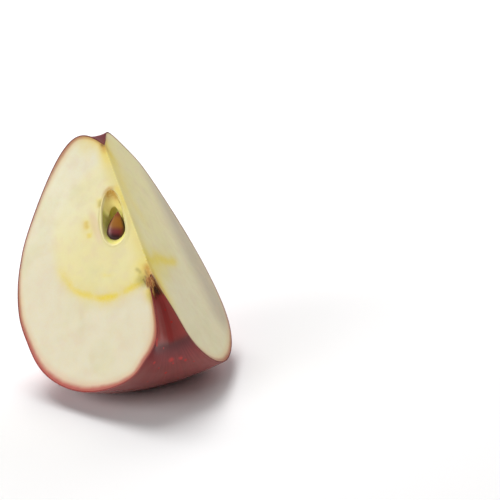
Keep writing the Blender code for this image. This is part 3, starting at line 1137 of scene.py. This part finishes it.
@dataclass
class CutFlesh:
    """The flesh: both cut faces, the hole for the seed chamber, and the hidden wall under the peel."""

    quarter: Quarter
    chamber: Chamber
    peel_thickness: float
    outline_steps: int = 380
    wall_turns: int = 48
    spacing: float = 0.55 * MM
    fine_spacing: float = 0.24 * MM
    fine_reach: float = 1.6 * MM
    # Marks narrower than this, in millimetres, get a finer mesh round them
    narrow_mark: float = 1.1
    core_steps: int = 90
    knife_wave: float = 0.035 * MM
    pucker: float = 0.03 * MM
    vein_groove: float = 0.02 * MM
    lip_height: float = 0.08 * MM
    lining_room: float = 0.25 * MM
    # The yellower inner flesh of the left face, as the middle's height and the half widths of an ellipse in millimetres
    core_height: float = 14.0
    core_reach: Pair = (25.0, 18.6)

    def boundary(self, face: CutFace) -> tuple[np.ndarray, np.ndarray]:
        """A face's outline under the peel, and the whole loop with the core edge, in metres.

        Args:
            face: which cut face.

        Returns:
            The outline and the loop, as points (distance from the core, height).
        """
        line = self.quarter.outline(face.value, self.outline_steps, self.peel_thickness)
        heights = np.linspace(line[-1, 1], line[0, 1], self.core_steps + 1)[1:-1]
        edge = np.stack((np.zeros_like(heights), heights), axis=1)
        return line, np.concatenate((line, edge))

    def fill_points(self, loop: np.ndarray, dense: list[np.ndarray]) -> np.ndarray:
        """Points to fill a face with: a triangular grid, closer together near the given lines.

        Args:
            loop: the face's boundary.
            dense: lines that need a finer grid around them.

        Returns:
            Points inside the boundary and off it, one row each.
        """
        low, high = loop.min(axis=0), loop.max(axis=0)

        def grid(step: float) -> np.ndarray:
            """A triangular grid over the face's box.

            Args:
                step: its spacing, in metres.

            Returns:
                The grid's points, one row each.
            """
            rise = step * math.sqrt(0.75)
            rows = []
            for k, y in enumerate(np.arange(low[1], high[1], rise)):
                x = np.arange(low[0] + (k % 2) * step / 2.0, high[0], step)
                rows.append(np.stack((x, np.full_like(x, y)), axis=1))
            return np.concatenate(rows)

        coarse, fine = grid(self.spacing), grid(self.fine_spacing)
        coarse_gap = np.min([nearest_on_line(coarse, line)[0] for line in dense], axis=0)
        fine_gap = np.min([nearest_on_line(fine, line)[0] for line in dense], axis=0)
        points = np.concatenate((coarse[coarse_gap > self.fine_reach], fine[fine_gap <= self.fine_reach]))
        points = points[inside_loop(points, loop)]
        closed = np.concatenate((loop, loop[:1]))
        return points[nearest_on_line(points, closed)[0] > 0.45 * self.fine_spacing]

    def values(self, face: CutFace, places: np.ndarray, line: np.ndarray) -> dict[str, np.ndarray]:
        """The point values that the flesh's finish and relief read.

        Args:
            face: which cut face.
            places: points on it, in metres.
            line: the face's outline under the peel.

        Returns:
            Distances in millimetres from the peel, the core edge and the chamber's lip, and shares for the bleed, the
            inner flesh, the painted light on the left face's top, the painted shade on the right face's outer part, the
            pink patch and each tone of mark.
        """
        rim, at = nearest_on_line(places, line)
        core, up = places[:, 0] / MM, places[:, 1] / MM
        wobble = 1.3 * wander(self.quarter.on_face(face, places), 4.0 * MM, 21.0)
        tones = {tone.value: np.zeros(len(places)) for tone in Tone}
        for mark in MARKS[face]:
            bare = 1.0 - np.clip(mark.cover(places, wobble), 0.0, 1.0)
            tones[mark.tone.value] = 1.0 - (1.0 - tones[mark.tone.value]) * bare
        if face is CutFace.LEFT:
            inner = 1.0 - np.hypot(core / self.core_reach[0], (up - self.core_height) / self.core_reach[1])
            hole = self.chamber.edge(self.chamber.lip_width())
            lip = nearest_on_line(places, np.concatenate((hole, hole[:1])))[0] / MM
            # A narrow upright patch beside the chamber
            pink = 0.75 * smooth_step(np.hypot((core - 10.2) / 1.5, (up - 16.2) / 5.5), 1.3, 0.4)
            share = smooth_step(inner, -0.05, 0.12)
            # Painted light: paler towards the calyx, and less so near the core
            upper = 0.75 * smooth_step(up, 10.0, 30.0) * (1.0 - 0.45 * smooth_step(core, 17.0, 6.0))
            dry = np.zeros(len(places))
        else:
            lip = np.full(len(places), NO_LIP)
            pink = np.zeros(len(places))
            # Yellower above the stem cavity and towards the core
            share = 0.38 + 0.60 * smooth_step(up, -6.0, 14.0) * smooth_step(core, 30.0, 12.0)
            share = np.minimum(share + 0.35 * smooth_step(core, 12.0, 1.5), 1.0)
            upper = np.zeros(len(places))
            # Painted shade: greyer beyond a slanting line towards the peel
            dry = 0.75 * smooth_step(core + 0.25 * up, 23.5, 32.5) * smooth_step(up, -19.0, -8.0)
        return {
            "rim": rim / MM,
            **BLEEDS[face].along(at),
            "core": core,
            "upper": upper,
            "inner": share,
            "dry": dry,
            "lip": lip,
            "pink": pink,
            **tones,
        }

    def add_face(self, parts: MeshParts, face: CutFace) -> None:
        """Add one cut face, filled with triangles and with its fine relief.

        Args:
            parts: the flesh so far.
            face: which cut face.
        """
        line, loop = self.boundary(face)
        dense = [spline(mark.points) * MM for mark in MARKS[face] if mark.width < self.narrow_mark] + [line]
        hole = self.chamber.edge(self.chamber.lip_width())
        if face is CutFace.LEFT:
            dense.append(np.concatenate((hole, hole[:1])))
        fill = self.fill_points(loop, dense)
        loops = [loop]
        if face is CutFace.LEFT:
            off_hole = nearest_on_line(fill, dense[-1])[0] > 0.4 * self.fine_spacing
            fill = fill[~inside_loop(fill, hole) & off_hole]
            loops.append(hole)
        sides = []
        first = 0
        for ring in loops:
            count = len(ring)
            sides += [(first + k, first + (k + 1) % count) for k in range(count)]
            first += count
        flat = np.concatenate(loops + [fill])
        found = geometry.delaunay_2d_cdt([Vector(p) / MM for p in flat], sides, [], 1, 1e-6)
        places = np.array([v[:] for v in found[0]]) * MM
        faces = np.array(found[2])
        middles = places[faces].mean(axis=1)
        keep = inside_loop(middles, loop)
        if face is CutFace.LEFT:
            keep &= ~inside_loop(middles, hole)
        values = self.values(face, places, line)
        apple = self.quarter.on_face(face, places)
        # The relief stays clear of the face's edges, so that it meets the peel and the other face
        free = smooth_step(values["rim"], 0.0, 0.8) * smooth_step(values["core"], 0.0, 0.8)
        free *= smooth_step(values["lip"], 0.0, 0.5)
        wave = np.sin((places[:, 0] + 0.35 * places[:, 1]) / (2.3 * MM) + 2.0 * face.value)
        rise = self.knife_wave * wander(apple, 7.0 * MM, 3.0 + face.value) * 2.0
        rise += 0.25 * self.knife_wave * wave + self.pucker * wander(apple, 1.5 * MM, 9.0)
        rise -= self.vein_groove * np.clip(values["yellow"], 0.0, 1.0) * smooth_step(values["core"], 2.0, 5.0)
        rise += self.lip_height * np.exp(-((values["lip"] - 0.55) / 0.45) ** 2)
        apple = self.quarter.on_face(face, places, rise * free)
        parts.add(self.quarter.to_row(apple, self.peel_thickness), faces[keep], **values)

    def add_chamber(self, parts: MeshParts) -> None:
        """Add the chamber's hollow to the left face, from the opening down to its bottom.

        Args:
            parts: the flesh so far, with both cut faces in it.
        """
        places, depths = self.chamber.rings_down(self.lining_room)
        rings, sides = depths.shape
        places[0] = self.chamber.edge(self.chamber.lip_width())
        places[1] = 0.5 * (places[0] + places[2])
        depths[1:3] = ((0.12 * MM,), (0.3 * MM,))
        apple = self.quarter.on_face(CutFace.LEFT, places.reshape(-1, 2), -depths.reshape(-1))
        middle = np.array([self.chamber.middle]) * MM
        bottom = self.quarter.on_face(CutFace.LEFT, middle, -self.chamber.depth - self.lining_room)
        points = self.quarter.to_row(np.concatenate((apple, bottom)), self.peel_thickness)
        quads = grid_faces(rings, sides, closed=True)
        fan = fan_faces((rings - 1) * sides, sides, rings * sides)
        nothing = {name: 0.0 for name in parts.values}
        parts.add(points, quads + fan, **{**nothing, "rim": 9.0, "core": 9.0})

    def add_wall(self, parts: MeshParts) -> None:
        """Add the hidden outer wall, just under the peel's outer side.

        Args:
            parts: the flesh so far, with both cut faces in it.
        """
        skin = self.quarter.skin(self.wall_turns, self.outline_steps, self.peel_thickness)
        turns, steps, _ = skin.shape
        points = self.quarter.to_row(skin.reshape(-1, 3), self.peel_thickness)
        values = {name: np.zeros((turns, steps)) for name in parts.values}
        run = np.linspace(0.0, 1.0, steps)
        for face, rows in ((CutFace.RIGHT, slice(0, turns // 2)), (CutFace.LEFT, slice(turns // 2, turns))):
            for name, row in BLEEDS[face].along(run).items():
                values[name][rows] = row
        flat = {name: grid.reshape(-1) for name, grid in values.items()}
        parts.add(points, grid_faces(turns, steps), **flat)

    def build(self) -> bpy.types.Object:
        """Build the flesh as one closed piece and dress it.

        Returns:
            The flesh.
        """
        parts = MeshParts()
        for face in CutFace:
            self.add_face(parts, face)
        self.add_chamber(parts)
        self.add_wall(parts)
        piece = parts.build("flesh", weld=0.004 * MM)
        return settle(piece, "flesh", CutFleshFinish().material(), "slice")


@dataclass
class Peel:
    """The peel: a thin closed shell over the skin side, its cut edges level with the cut faces."""

    quarter: Quarter
    thickness: float = 0.3 * MM
    turns: int = 84
    steps: int = 300
    dimple_height: float = 0.05 * MM
    # The distance from the core that the streaks' widths are measured at
    streak_radius: float = 30.0 * MM
    # The painted shade along the crease at the cavity's mouth: how far from the stem end, and how wide above and below,
    # in millimetres
    crease_down: float = 17.6
    crease_above: float = 0.8
    crease_below: float = 2.6
    crease_strength: float = 0.6
    # Brighter red flecks: share of the way round from the right face, distance from the stem end and radius in mm
    flecks: tuple[tuple[float, float, float], ...] = (
        (0.25, 8.5, 0.35), (0.20, 12.0, 0.50), (0.93, 16.6, 1.20), (0.84, 17.2, 0.75), (0.58, 18.0, 0.40),
        (0.43, 22.0, 1.10), (0.28, 22.0, 0.85), (0.24, 23.5, 0.55), (0.74, 22.0, 0.60), (0.50, 26.0, 0.55),
        (0.69, 28.5, 0.35), (0.36, 30.5, 0.35), (0.62, 24.0, 0.35), (0.15, 25.0, 0.30), (0.40, 23.0, 0.40),
    )

    def painted_reflection_share(self, share: np.ndarray, down: np.ndarray) -> np.ndarray:
        """How strong the painted reflection is: greyish bands in the stem cavity and a grey film beyond it.

        Args:
            share: the share of the way round from the right face.
            down: the distance from the stem end, in millimetres.

        Returns:
            Shares from 0 to 1.
        """
        # Two bands of painted reflection run down the cavity's wall with clear skin between them, their inner edges
        # slanting as it opens
        left_edge = 0.42 + 0.005 * (down - 11.0)
        right_edge = 0.23 + 0.016 * (down - 11.6)
        left_band = smooth_step(share - left_edge, -0.035, 0.035) * smooth_step(share, 0.99, 0.90)
        right_band = 0.75 * smooth_step(right_edge - share, -0.04, 0.04)
        cavity = (left_band + right_band) * smooth_step(down, 5.0, 9.0) * smooth_step(down, 18.0, 17.0)
        # Beyond the crease the painted reflection is even, and thins towards the middle of the skin
        outside = smooth_step(down, 18.0, 27.0) * (0.1 + 0.56 * smooth_step(down, 46.0, 32.0))
        return np.maximum(0.72 * cavity, outside)

    def build(self) -> bpy.types.Object:
        """Build the peel and dress it.

        Returns:
            The peel.
        """
        outer = self.quarter.skin(self.turns, self.steps)
        inner = self.quarter.skin(self.turns, self.steps, self.thickness)
        rows, columns, _ = outer.shape
        share = np.linspace(0.0, 1.0, rows)[:, None] * np.ones((1, columns))
        run = np.stack([along_line(row) for row in outer])
        pole = np.hypot(outer[..., 0], outer[..., 1]).reshape(-1)
        cut = np.zeros((rows, columns))
        cut[[0, -1]] = 1.0
        to_calyx = np.linalg.norm(outer - outer[:1, :1], axis=2) / MM
        bleeds = (BLEEDS[CutFace.RIGHT], BLEEDS[CutFace.LEFT])
        warmth = [np.interp(run[0] / run[0, -1], bleed.places, bleed.warmths) for bleed in bleeds]
        down = (run[:, -1:] - run) / MM
        painted_reflection_share = self.painted_reflection_share(share, down)
        width = np.where(down > self.crease_down, self.crease_below, self.crease_above)
        grids = {
            "around": share * self.quarter.wedge * self.streak_radius,
            "run": run,
            "to_stem": np.linalg.norm(outer - outer[:1, -1:], axis=2) / MM,
            "to_calyx": to_calyx,
            "cut": cut,
            "cut_warmth": np.where(share < 0.5, warmth[0], warmth[1]),
            "painted_reflection": painted_reflection_share,
            # Painted shade along the crease at the cavity's mouth
            "crease": self.crease_strength * np.exp(-((down - self.crease_down) / width) ** 2),
            "rough": np.maximum(cut, smooth_step(to_calyx, 9.0, 4.0)),
        }
        values = {name: grid.reshape(-1) for name, grid in grids.items()}
        level = outer.reshape(-1, 3)
        push = self.dimple_height * wander(level, 9.0 * MM, 5.0) * smooth_step(pole, 0.0, 6.0 * MM)
        push *= np.sin(math.pi * share.reshape(-1)) ** 0.5
        turn = (share.reshape(-1) - 0.5) * self.quarter.wedge
        level = level + push[:, None] * np.stack((np.cos(turn), np.sin(turn), np.zeros_like(turn)), axis=1)
        parts = MeshParts()
        quads = grid_faces(rows, columns)
        parts.add(self.quarter.to_row(level), quads, **values)
        parts.add(self.quarter.to_row(inner.reshape(-1, 3), self.thickness), quads, **values)
        count = rows * columns
        rims = []
        for row in (0, rows - 1):
            start = row * columns
            rims += [(start + k, start + k + 1, count + start + k + 1, count + start + k) for k in range(columns - 1)]
        parts.faces.extend(rims)
        for column in (0, columns - 1):
            parts.faces.extend(
                (row * columns + column, (row + 1) * columns + column,
                 count + (row + 1) * columns + column, count + row * columns + column)
                for row in range(rows - 1)
            )
        piece = parts.build("peel", weld=0.002 * MM)
        flecks = []
        for around, down, radius in self.flecks:
            row = round(around * (rows - 1))
            column = int(np.argmin(np.abs(run[row, -1] - run[row] - down * MM)))
            place = self.quarter.to_row(outer[row, column][None])[0]
            flecks.append((Vector(place), radius * MM))
        return settle(piece, "peel", PeelFinish(flecks=tuple(flecks)).material(), "slice")


@dataclass
class ChamberLining:
    """The seed chamber's papery wall: a thin closed shell in the hole, its lip just proud of the cut face."""

    quarter: Quarter
    chamber: Chamber
    thickness: float = 0.14 * MM
    proud: float = 0.12 * MM
    tuck: float = 0.12 * MM
    wrinkle: float = 0.10 * MM
    # Sides of the chamber: the angle round it, and how far from it they are full and have ended, in degrees
    hood_side: tuple[float, float, float] = (14.0, 22.0, 52.0)
    core_side: tuple[float, float, float] = (70.0, 34.0, 62.0)
    stain_side: tuple[float, float, float] = (18.0, 4.0, 26.0)
    calyx_side: tuple[float, float, float] = (10.0, 10.0, 60.0)

    def surface(self) -> tuple[np.ndarray, np.ndarray]:
        """The lining's visible side, as rings from under the flesh over the lip and down the wall.

        Returns:
            Places on the face of shape (rings, sides, 2), and heights above the face of shape (rings, sides).
        """
        width = self.chamber.lip_width()
        lip_share = np.clip(width / (0.6 * MM), 0.3, 1.0)
        places, depths = self.chamber.rings_down()
        # The lip, from its tucked-in outer edge to the mouth: how far outside the mouth, and how high above the face
        over = [
            (width + self.tuck, -0.10 * MM * np.ones_like(width)),
            (width + 0.3 * self.tuck, 0.2 * self.proud * lip_share),
            (0.72 * width, self.proud * lip_share),
            (0.40 * width, 0.85 * self.proud * lip_share),
            (0.16 * width, 0.35 * self.proud * lip_share),
            (0.04 * width, -0.10 * self.proud * np.ones_like(width)),
        ]
        lip_places = np.array([self.chamber.edge(grow) for grow, _ in over])
        lip_rise = np.array([rise for _, rise in over])
        # Just inside the mouth the wall has already left the cut face
        down = -np.maximum(depths, 0.05 * MM)
        return np.concatenate((lip_places, places[1:])), np.concatenate((lip_rise, down[1:]))

    def build(self) -> bpy.types.Object:
        """Build the lining and dress it.

        Returns:
            The lining.
        """
        places, rise = self.surface()
        rings, sides = rise.shape
        depth = np.maximum(-rise, 0.0) / self.chamber.depth
        middle = np.array(self.chamber.middle) * MM
        apple = self.quarter.on_face(CutFace.LEFT, places.reshape(-1, 2), rise.reshape(-1)).reshape(rings, sides, 3)
        crease = wander(apple.reshape(-1, 3), 1.5 * MM, 4.0).reshape(rings, sides)
        crease *= self.wrinkle * smooth_step(depth, 0.02, 0.12)
        inwards = middle - places
        inwards /= np.linalg.norm(inwards, axis=2, keepdims=True) + 1e-9
        places = places + inwards * crease[..., None]
        apple = self.quarter.on_face(CutFace.LEFT, places.reshape(-1, 2), rise.reshape(-1)).reshape(rings, sides, 3)
        down_way = np.gradient(apple, axis=0)
        round_way = np.roll(apple, -1, axis=1) - np.roll(apple, 1, axis=1)
        normal = np.cross(down_way, round_way)
        normal /= np.linalg.norm(normal, axis=2, keepdims=True) + 1e-12
        out_of_face = self.quarter.face_frame(CutFace.LEFT)[2]
        normal *= np.sign((normal[2] @ out_of_face).mean())
        back = apple - normal * self.thickness

        sides_of = (self.hood_side, self.core_side, self.stain_side, self.calyx_side)
        hood, core_side, stain_side, calyx_side = (self.chamber.near(*side)[None] for side in sides_of)
        on_lip = smooth_step(rise, -0.35 * MM, -0.02 * MM)
        values = {
            "deep": depth,
            "hood": hood * smooth_step(depth, 0.50, 0.42) + (1.0 - hood) * smooth_step(depth, 0.12, 0.02),
            "lip": on_lip * (1.0 - 0.6 * stain_side) * (0.35 + 0.65 * (1.0 - core_side)),
            "line": core_side * smooth_step(depth, 0.0, 0.01) * smooth_step(depth, 0.13, 0.04),
            "stain": stain_side * smooth_step(depth, 0.26, 0.06) + 0.15 * calyx_side * on_lip,
        }
        flat = {name: np.append(np.broadcast_to(value, rise.shape), 0.0) for name, value in values.items()}
        fan = fan_faces((rings - 1) * sides, sides, rings * sides)
        quads = grid_faces(rings, sides, closed=True)
        parts = MeshParts()
        for grid, bottom in ((apple, -self.chamber.depth), (back, -self.chamber.depth - self.thickness)):
            end = self.quarter.on_face(CutFace.LEFT, middle[None], bottom)
            parts.add(self.quarter.to_row(np.concatenate((grid.reshape(-1, 3), end))), quads + fan, **flat)
        count = rings * sides + 1
        parts.faces.extend((k, (k + 1) % sides, count + (k + 1) % sides, count + k) for k in range(sides))
        piece = parts.build("chamber_lining")
        return settle(piece, "chamber_lining", LiningFinish().material())


@dataclass
class Seed:
    """The seed: a flattened drop, lying askew in the open chamber with its tip towards the calyx."""

    quarter: Quarter
    length: float = 7.9 * MM
    width: float = 4.9 * MM
    thickness: float = 2.6 * MM
    centre: Pair = (5.4, 14.2)
    sink: float = 1.8 * MM
    tip: tuple[float, float, float] = (-3.9, 6.9, 0.7)
    facing: tuple[float, float, float] = (-0.25, -0.28, 0.93)
    rings: int = 72
    sides: int = 64

    def build(self) -> bpy.types.Object:
        """Build the seed and dress it.

        Returns:
            The seed's coat.
        """
        directions = np.array(self.quarter.face_frame(CutFace.LEFT))
        tip_way = np.array(self.tip) @ directions
        tip_way /= np.linalg.norm(tip_way)
        side_way = np.cross(np.array(self.facing) @ directions, tip_way)
        side_way /= np.linalg.norm(side_way)
        thick_way = np.cross(tip_way, side_way)
        centre = self.quarter.on_face(CutFace.LEFT, np.array([self.centre]) * MM, -self.sink)[0]
        angle = np.linspace(0.0, 2.0 * math.pi, self.sides, endpoint=False)
        fullest = np.max(np.sin(np.linspace(0.0, math.pi, 181)) * np.sin(np.linspace(0.0, math.pi, 181) / 2.0))
        points, length, across = [], [], []
        for step in range(1, self.rings):
            t = math.pi * (1.0 - step / self.rings)
            girth = math.sin(t) * math.sin(t / 2.0) / fullest
            middle = centre + tip_way * (self.length / 2.0) * math.cos(t)
            ridge = 1.0 + 0.05 * np.cos(angle * 2.0) - 0.03 * np.cos(angle * 4.0)
            wide = self.width / 2.0 * girth * np.cos(angle)
            thick = self.thickness / 2.0 * girth * np.sin(angle) * ridge
            points.append(middle + wide[:, None] * side_way + thick[:, None] * thick_way)
            length.append(np.full(self.sides, 0.5 + 0.5 * math.cos(t)))
            # How near the seed's edge each point is, for its painted shade
            across.append(np.abs(np.cos(angle)) * min(1.0, 0.4 + girth))
        ends = (centre - tip_way * self.length / 2.0, centre + tip_way * self.length / 2.0)
        count = (self.rings - 1) * self.sides
        faces: list[tuple[int, ...]] = list(grid_faces(self.rings - 1, self.sides, closed=True))
        faces += fan_faces(0, self.sides, count) + fan_faces(count - self.sides, self.sides, count + 1)
        girth_mm = np.tile(np.sin(angle) * self.width / 2.0, self.rings - 1)
        parts = MeshParts()
        parts.add(
            self.quarter.to_row(np.concatenate((np.concatenate(points), np.array(ends)))),
            faces,
            length=np.append(np.concatenate(length), (0.0, 1.0)),
            across=np.append(np.concatenate(across), (1.0, 0.4)),
            girth=np.append(girth_mm, (0.0, 0.0)),
        )
        piece = parts.build("seed_coat")
        return settle(piece, "seed_coat", SeedCoatFinish().material(), "seed")


@dataclass
class StemFibres:
    """Short dried fibres at the top of the stem cavity, and torn ones over its edge on the left cut face."""

    quarter: Quarter
    count: int = 90
    torn_count: int = 60
    longest: float = 3.6 * MM
    thickest: float = 0.17 * MM
    # How far from the stem end the wall's fibres start at most, in millimetres
    deepest: float = 2.6
    sides: int = 7
    steps: int = 9
    skin_turns: int = 40
    skin_steps: int = 400
    seed: int = 7

    def fibre(self, skin: np.ndarray, random: np.random.Generator) -> tuple[np.ndarray, float]:
        """Lay one fibre along the cavity's wall.

        Args:
            skin: a grid of apple points on the cavity's wall, from one cut face to the other.
            random: where its place and length come from.

        Returns:
            The fibre's line, and its tone from 0, dark, to 1, light.
        """
        turns = len(skin) - 1
        share = random.uniform(0.02, 0.98)
        start = random.uniform(0.1, self.deepest) * MM
        reach = start + np.linspace(0.0, random.uniform(0.3, 1.0) * self.longest, self.steps)
        drift = share + random.normal(0.0, 0.05) * np.linspace(0.0, 1.0, self.steps)
        row = np.clip(drift, 0.01, 0.99) * turns
        run = along_line(skin[turns // 2])
        column = np.interp(run[-1] - reach, run, np.arange(len(run)))
        low_row, low_column = row.astype(int), np.minimum(column.astype(int), len(run) - 2)
        a, b = (row - low_row)[:, None], (column - low_column)[:, None]
        line = (1 - a) * ((1 - b) * skin[low_row, low_column] + b * skin[low_row, low_column + 1])
        line += a * ((1 - b) * skin[low_row + 1, low_column] + b * skin[low_row + 1, low_column + 1])
        away = line * (1.0, 1.0, 0.0)
        lift = random.uniform(0.02, 0.45) * MM * np.sin(np.linspace(0.3, 2.6, self.steps))
        line -= away / (np.linalg.norm(away, axis=1)[:, None] + 0.3 * MM) * lift[:, None]
        towards_left = smooth_step(np.array(share), 0.45, 0.95)
        towards_right = smooth_step(np.array(share), 0.25, 0.05)
        fade = 1.0 - 0.7 * (start / (self.deepest * MM))
        tone = random.uniform(0.05, 0.55) * fade + 0.75 * float(towards_left) + 0.45 * float(towards_right)
        return line, tone

    def torn_fibre(self, random: np.random.Generator) -> tuple[np.ndarray, float]:
        """Lay one torn fibre from the left face's edge over the top of the cavity.

        Args:
            random: where its place and length come from.

        Returns:
            The fibre's line, and its tone from 0, dark, to 1, light.
        """
        across = random.uniform(0.0, 1.0)
        start = np.array((0.15 + 1.9 * across, random.uniform(-4.6, -3.0)))
        end = np.array((0.25 + 1.7 * across + random.normal(0.0, 0.25), random.uniform(-6.8, -4.6)))
        share = np.linspace(0.0, 1.0, self.steps)[:, None]
        places = (start + (end - start) * share) * MM
        places[:, 0] += random.normal(0.0, 0.2) * MM * np.sin(math.pi * share[:, 0])
        places[:, 0] = np.maximum(places[:, 0], 0.12 * MM)
        rise = random.uniform(0.0, 0.22) * MM * np.sin(np.linspace(0.4, 2.9, self.steps)) - 0.05 * MM
        line = self.quarter.on_face(CutFace.LEFT, places, rise)
        return line, float(np.clip(random.normal(0.9, 0.35) - 0.3 * (1.0 - across), 0.1, 1.3))

    def build(self) -> bpy.types.Object:
        """Build the fibres as one piece and dress it.

        Returns:
            The fibres.
        """
        random = np.random.default_rng(self.seed)
        parts = MeshParts()
        skin = self.quarter.skin(self.skin_turns, self.skin_steps)
        angle = np.linspace(0.0, 2.0 * math.pi, self.sides, endpoint=False)
        fibres = [self.fibre(skin, random) for _ in range(self.count)]
        fibres += [self.torn_fibre(random) for _ in range(self.torn_count)]
        for line, tone in fibres:
            girth = self.thickest * random.uniform(0.4, 1.0) * np.sqrt(np.linspace(1.0, 0.06, self.steps))
            way = np.gradient(line, axis=0)
            way /= np.linalg.norm(way, axis=1)[:, None] + 1e-12
            side = np.cross(way, (0.0, 1.0, 0.0))
            side /= np.linalg.norm(side, axis=1)[:, None] + 1e-12
            other = np.cross(way, side)
            ring = side[:, None] * np.cos(angle)[None, :, None] + other[:, None] * np.sin(angle)[None, :, None]
            tube = (line[:, None] + ring * girth[:, None, None]).reshape(-1, 3)
            faces: list[tuple[int, ...]] = list(grid_faces(self.steps, self.sides, closed=True))
            last = (self.steps - 1) * self.sides
            faces += [tuple(range(self.sides)), tuple(last + k for k in range(self.sides))]
            parts.add(self.quarter.to_row(tube), faces, tone=np.full(len(tube), tone))
        piece = parts.build("stem_fibres")
        return settle(piece, "dried_fibre", DriedFibreFinish().material())


# ---------------------------------------------------------------------------------------------------------------
# Studio


@dataclass(frozen=True)
class SoftBox:
    """A square studio lamp with a diffusing sheet, aimed at the slice."""

    name: str
    azimuth: float
    elevation: float
    distance: float
    size: float
    power: float
    tint: str = "#FFFFFF"

    def build(self, aim: Vector) -> bpy.types.Object:
        """Place the lamp.

        Args:
            aim: the point that it looks at.

        Returns:
            The lamp.
        """
        around, up = math.radians(self.azimuth), math.radians(self.elevation)
        away = Vector((-math.sin(around) * math.cos(up), -math.cos(around) * math.cos(up), math.sin(up)))
        data = bpy.data.lights.new(self.name, "AREA")
        data.shape = "SQUARE"
        data.size = self.size
        data.energy = self.power
        data.color = srgb(self.tint)[:3]
        lamp = bpy.data.objects.new(self.name, data)
        lamp.location = aim + away * self.distance
        lamp.rotation_euler = (-away).to_track_quat("-Z", "Y").to_euler()
        bpy.context.scene.collection.objects.link(lamp)
        return lamp


@dataclass
class Studio:
    """A white sheet, soft lamps, an even white surround and the camera."""

    quarter: Quarter
    lens: float = 90.0
    sensor: float = 36.0
    azimuth: float = -26.84
    elevation: float = 23.8
    distance: float = 311.0 * MM
    core_left_of_middle: float = 25.4 * MM
    core_below_middle: float = 3.3 * MM
    floor_size: float = 24.0
    surround: float = 0.08
    lamps: tuple[SoftBox, ...] = (
        SoftBox("back_lamp", 180.0, 55.0, 1.0, 0.6, 9.0),
        SoftBox("left_lamp", 90.0, 25.0, 1.0, 0.6, 5.3),
        SoftBox("right_lamp", -135.0, 25.0, 1.0, 0.6, 3.0),
        SoftBox("wide_right_lamp", -120.0, 30.0, 1.0, 1.5, 3.2),
    )

    def build_floor(self) -> bpy.types.Object:
        """Lay the white sheet.

        Returns:
            The sheet.
        """
        bm = bmesh.new()
        bmesh.ops.create_grid(bm, x_segments=8, y_segments=8, size=self.floor_size / 2.0)
        mesh = bpy.data.meshes.new("backdrop")
        bm.to_mesh(mesh)
        bm.free()
        mesh.materials.append(BackdropFinish().material())
        floor = bpy.data.objects.new("backdrop", mesh)
        bpy.context.scene.collection.objects.link(floor)
        return floor

    def build_surround(self) -> None:
        """Light the scene evenly from all round, and keep white as white."""
        world = bpy.data.worlds.new("white_surround")
        world.use_nodes = True
        background = world.node_tree.nodes["Background"]
        background.inputs["Color"].default_value = (1.0, 1.0, 1.0, 1.0)
        background.inputs["Strength"].default_value = self.surround
        scene = bpy.context.scene
        scene.world = world
        scene.view_settings.view_transform = "Standard"
        scene.view_settings.look = "None"

    def build_camera(self) -> bpy.types.Object:
        """Place the camera, with the slice left of the picture's middle.

        Returns:
            The camera.
        """
        around, up = math.radians(self.azimuth), math.radians(self.elevation)
        forward = Vector((-math.sin(around) * math.cos(up), math.cos(around) * math.cos(up), -math.sin(up)))
        right = forward.cross(Vector((0.0, 0.0, 1.0))).normalized()
        above = right.cross(forward)
        core = self.quarter.lie().translation
        aim = core + right * self.core_left_of_middle + above * self.core_below_middle
        data = bpy.data.cameras.new("camera")
        data.lens = self.lens
        data.sensor_width = self.sensor
        data.clip_start = 0.01
        data.clip_end = 100.0
        camera = bpy.data.objects.new("camera", data)
        turn = Matrix((right, above, -forward)).transposed().to_4x4()
        camera.matrix_world = Matrix.Translation(aim - forward * self.distance) @ turn
        bpy.context.scene.collection.objects.link(camera)
        bpy.context.scene.camera = camera
        return camera

    def build(self) -> None:
        """Set up the floor, the light and the camera."""
        self.build_floor()
        self.build_surround()
        low, high = CAD_BOX
        aim = (Vector(low) + Vector(high)) / 2.0
        for lamp in self.lamps:
            lamp.build(aim)
        self.build_camera()


def main() -> None:
    """Build every piece of the quarter and the studio, and report each piece."""
    logging.basicConfig(level=logging.INFO, format="%(name)s: %(message)s")
    quarter = Quarter()
    chamber = Chamber()
    peel = Peel(quarter)
    builders: list[Callable[[], bpy.types.Object]] = [
        CutFlesh(quarter, chamber, peel.thickness).build,
        peel.build,
        ChamberLining(quarter, chamber).build,
        Seed(quarter).build,
        StemFibres(quarter).build,
    ]
    for build in builders:
        piece = build()
        log.info("%s: %d points, %d faces", piece.name, len(piece.data.vertices), len(piece.data.polygons))
    Studio(quarter).build()


if __name__ == "__main__":
    main()
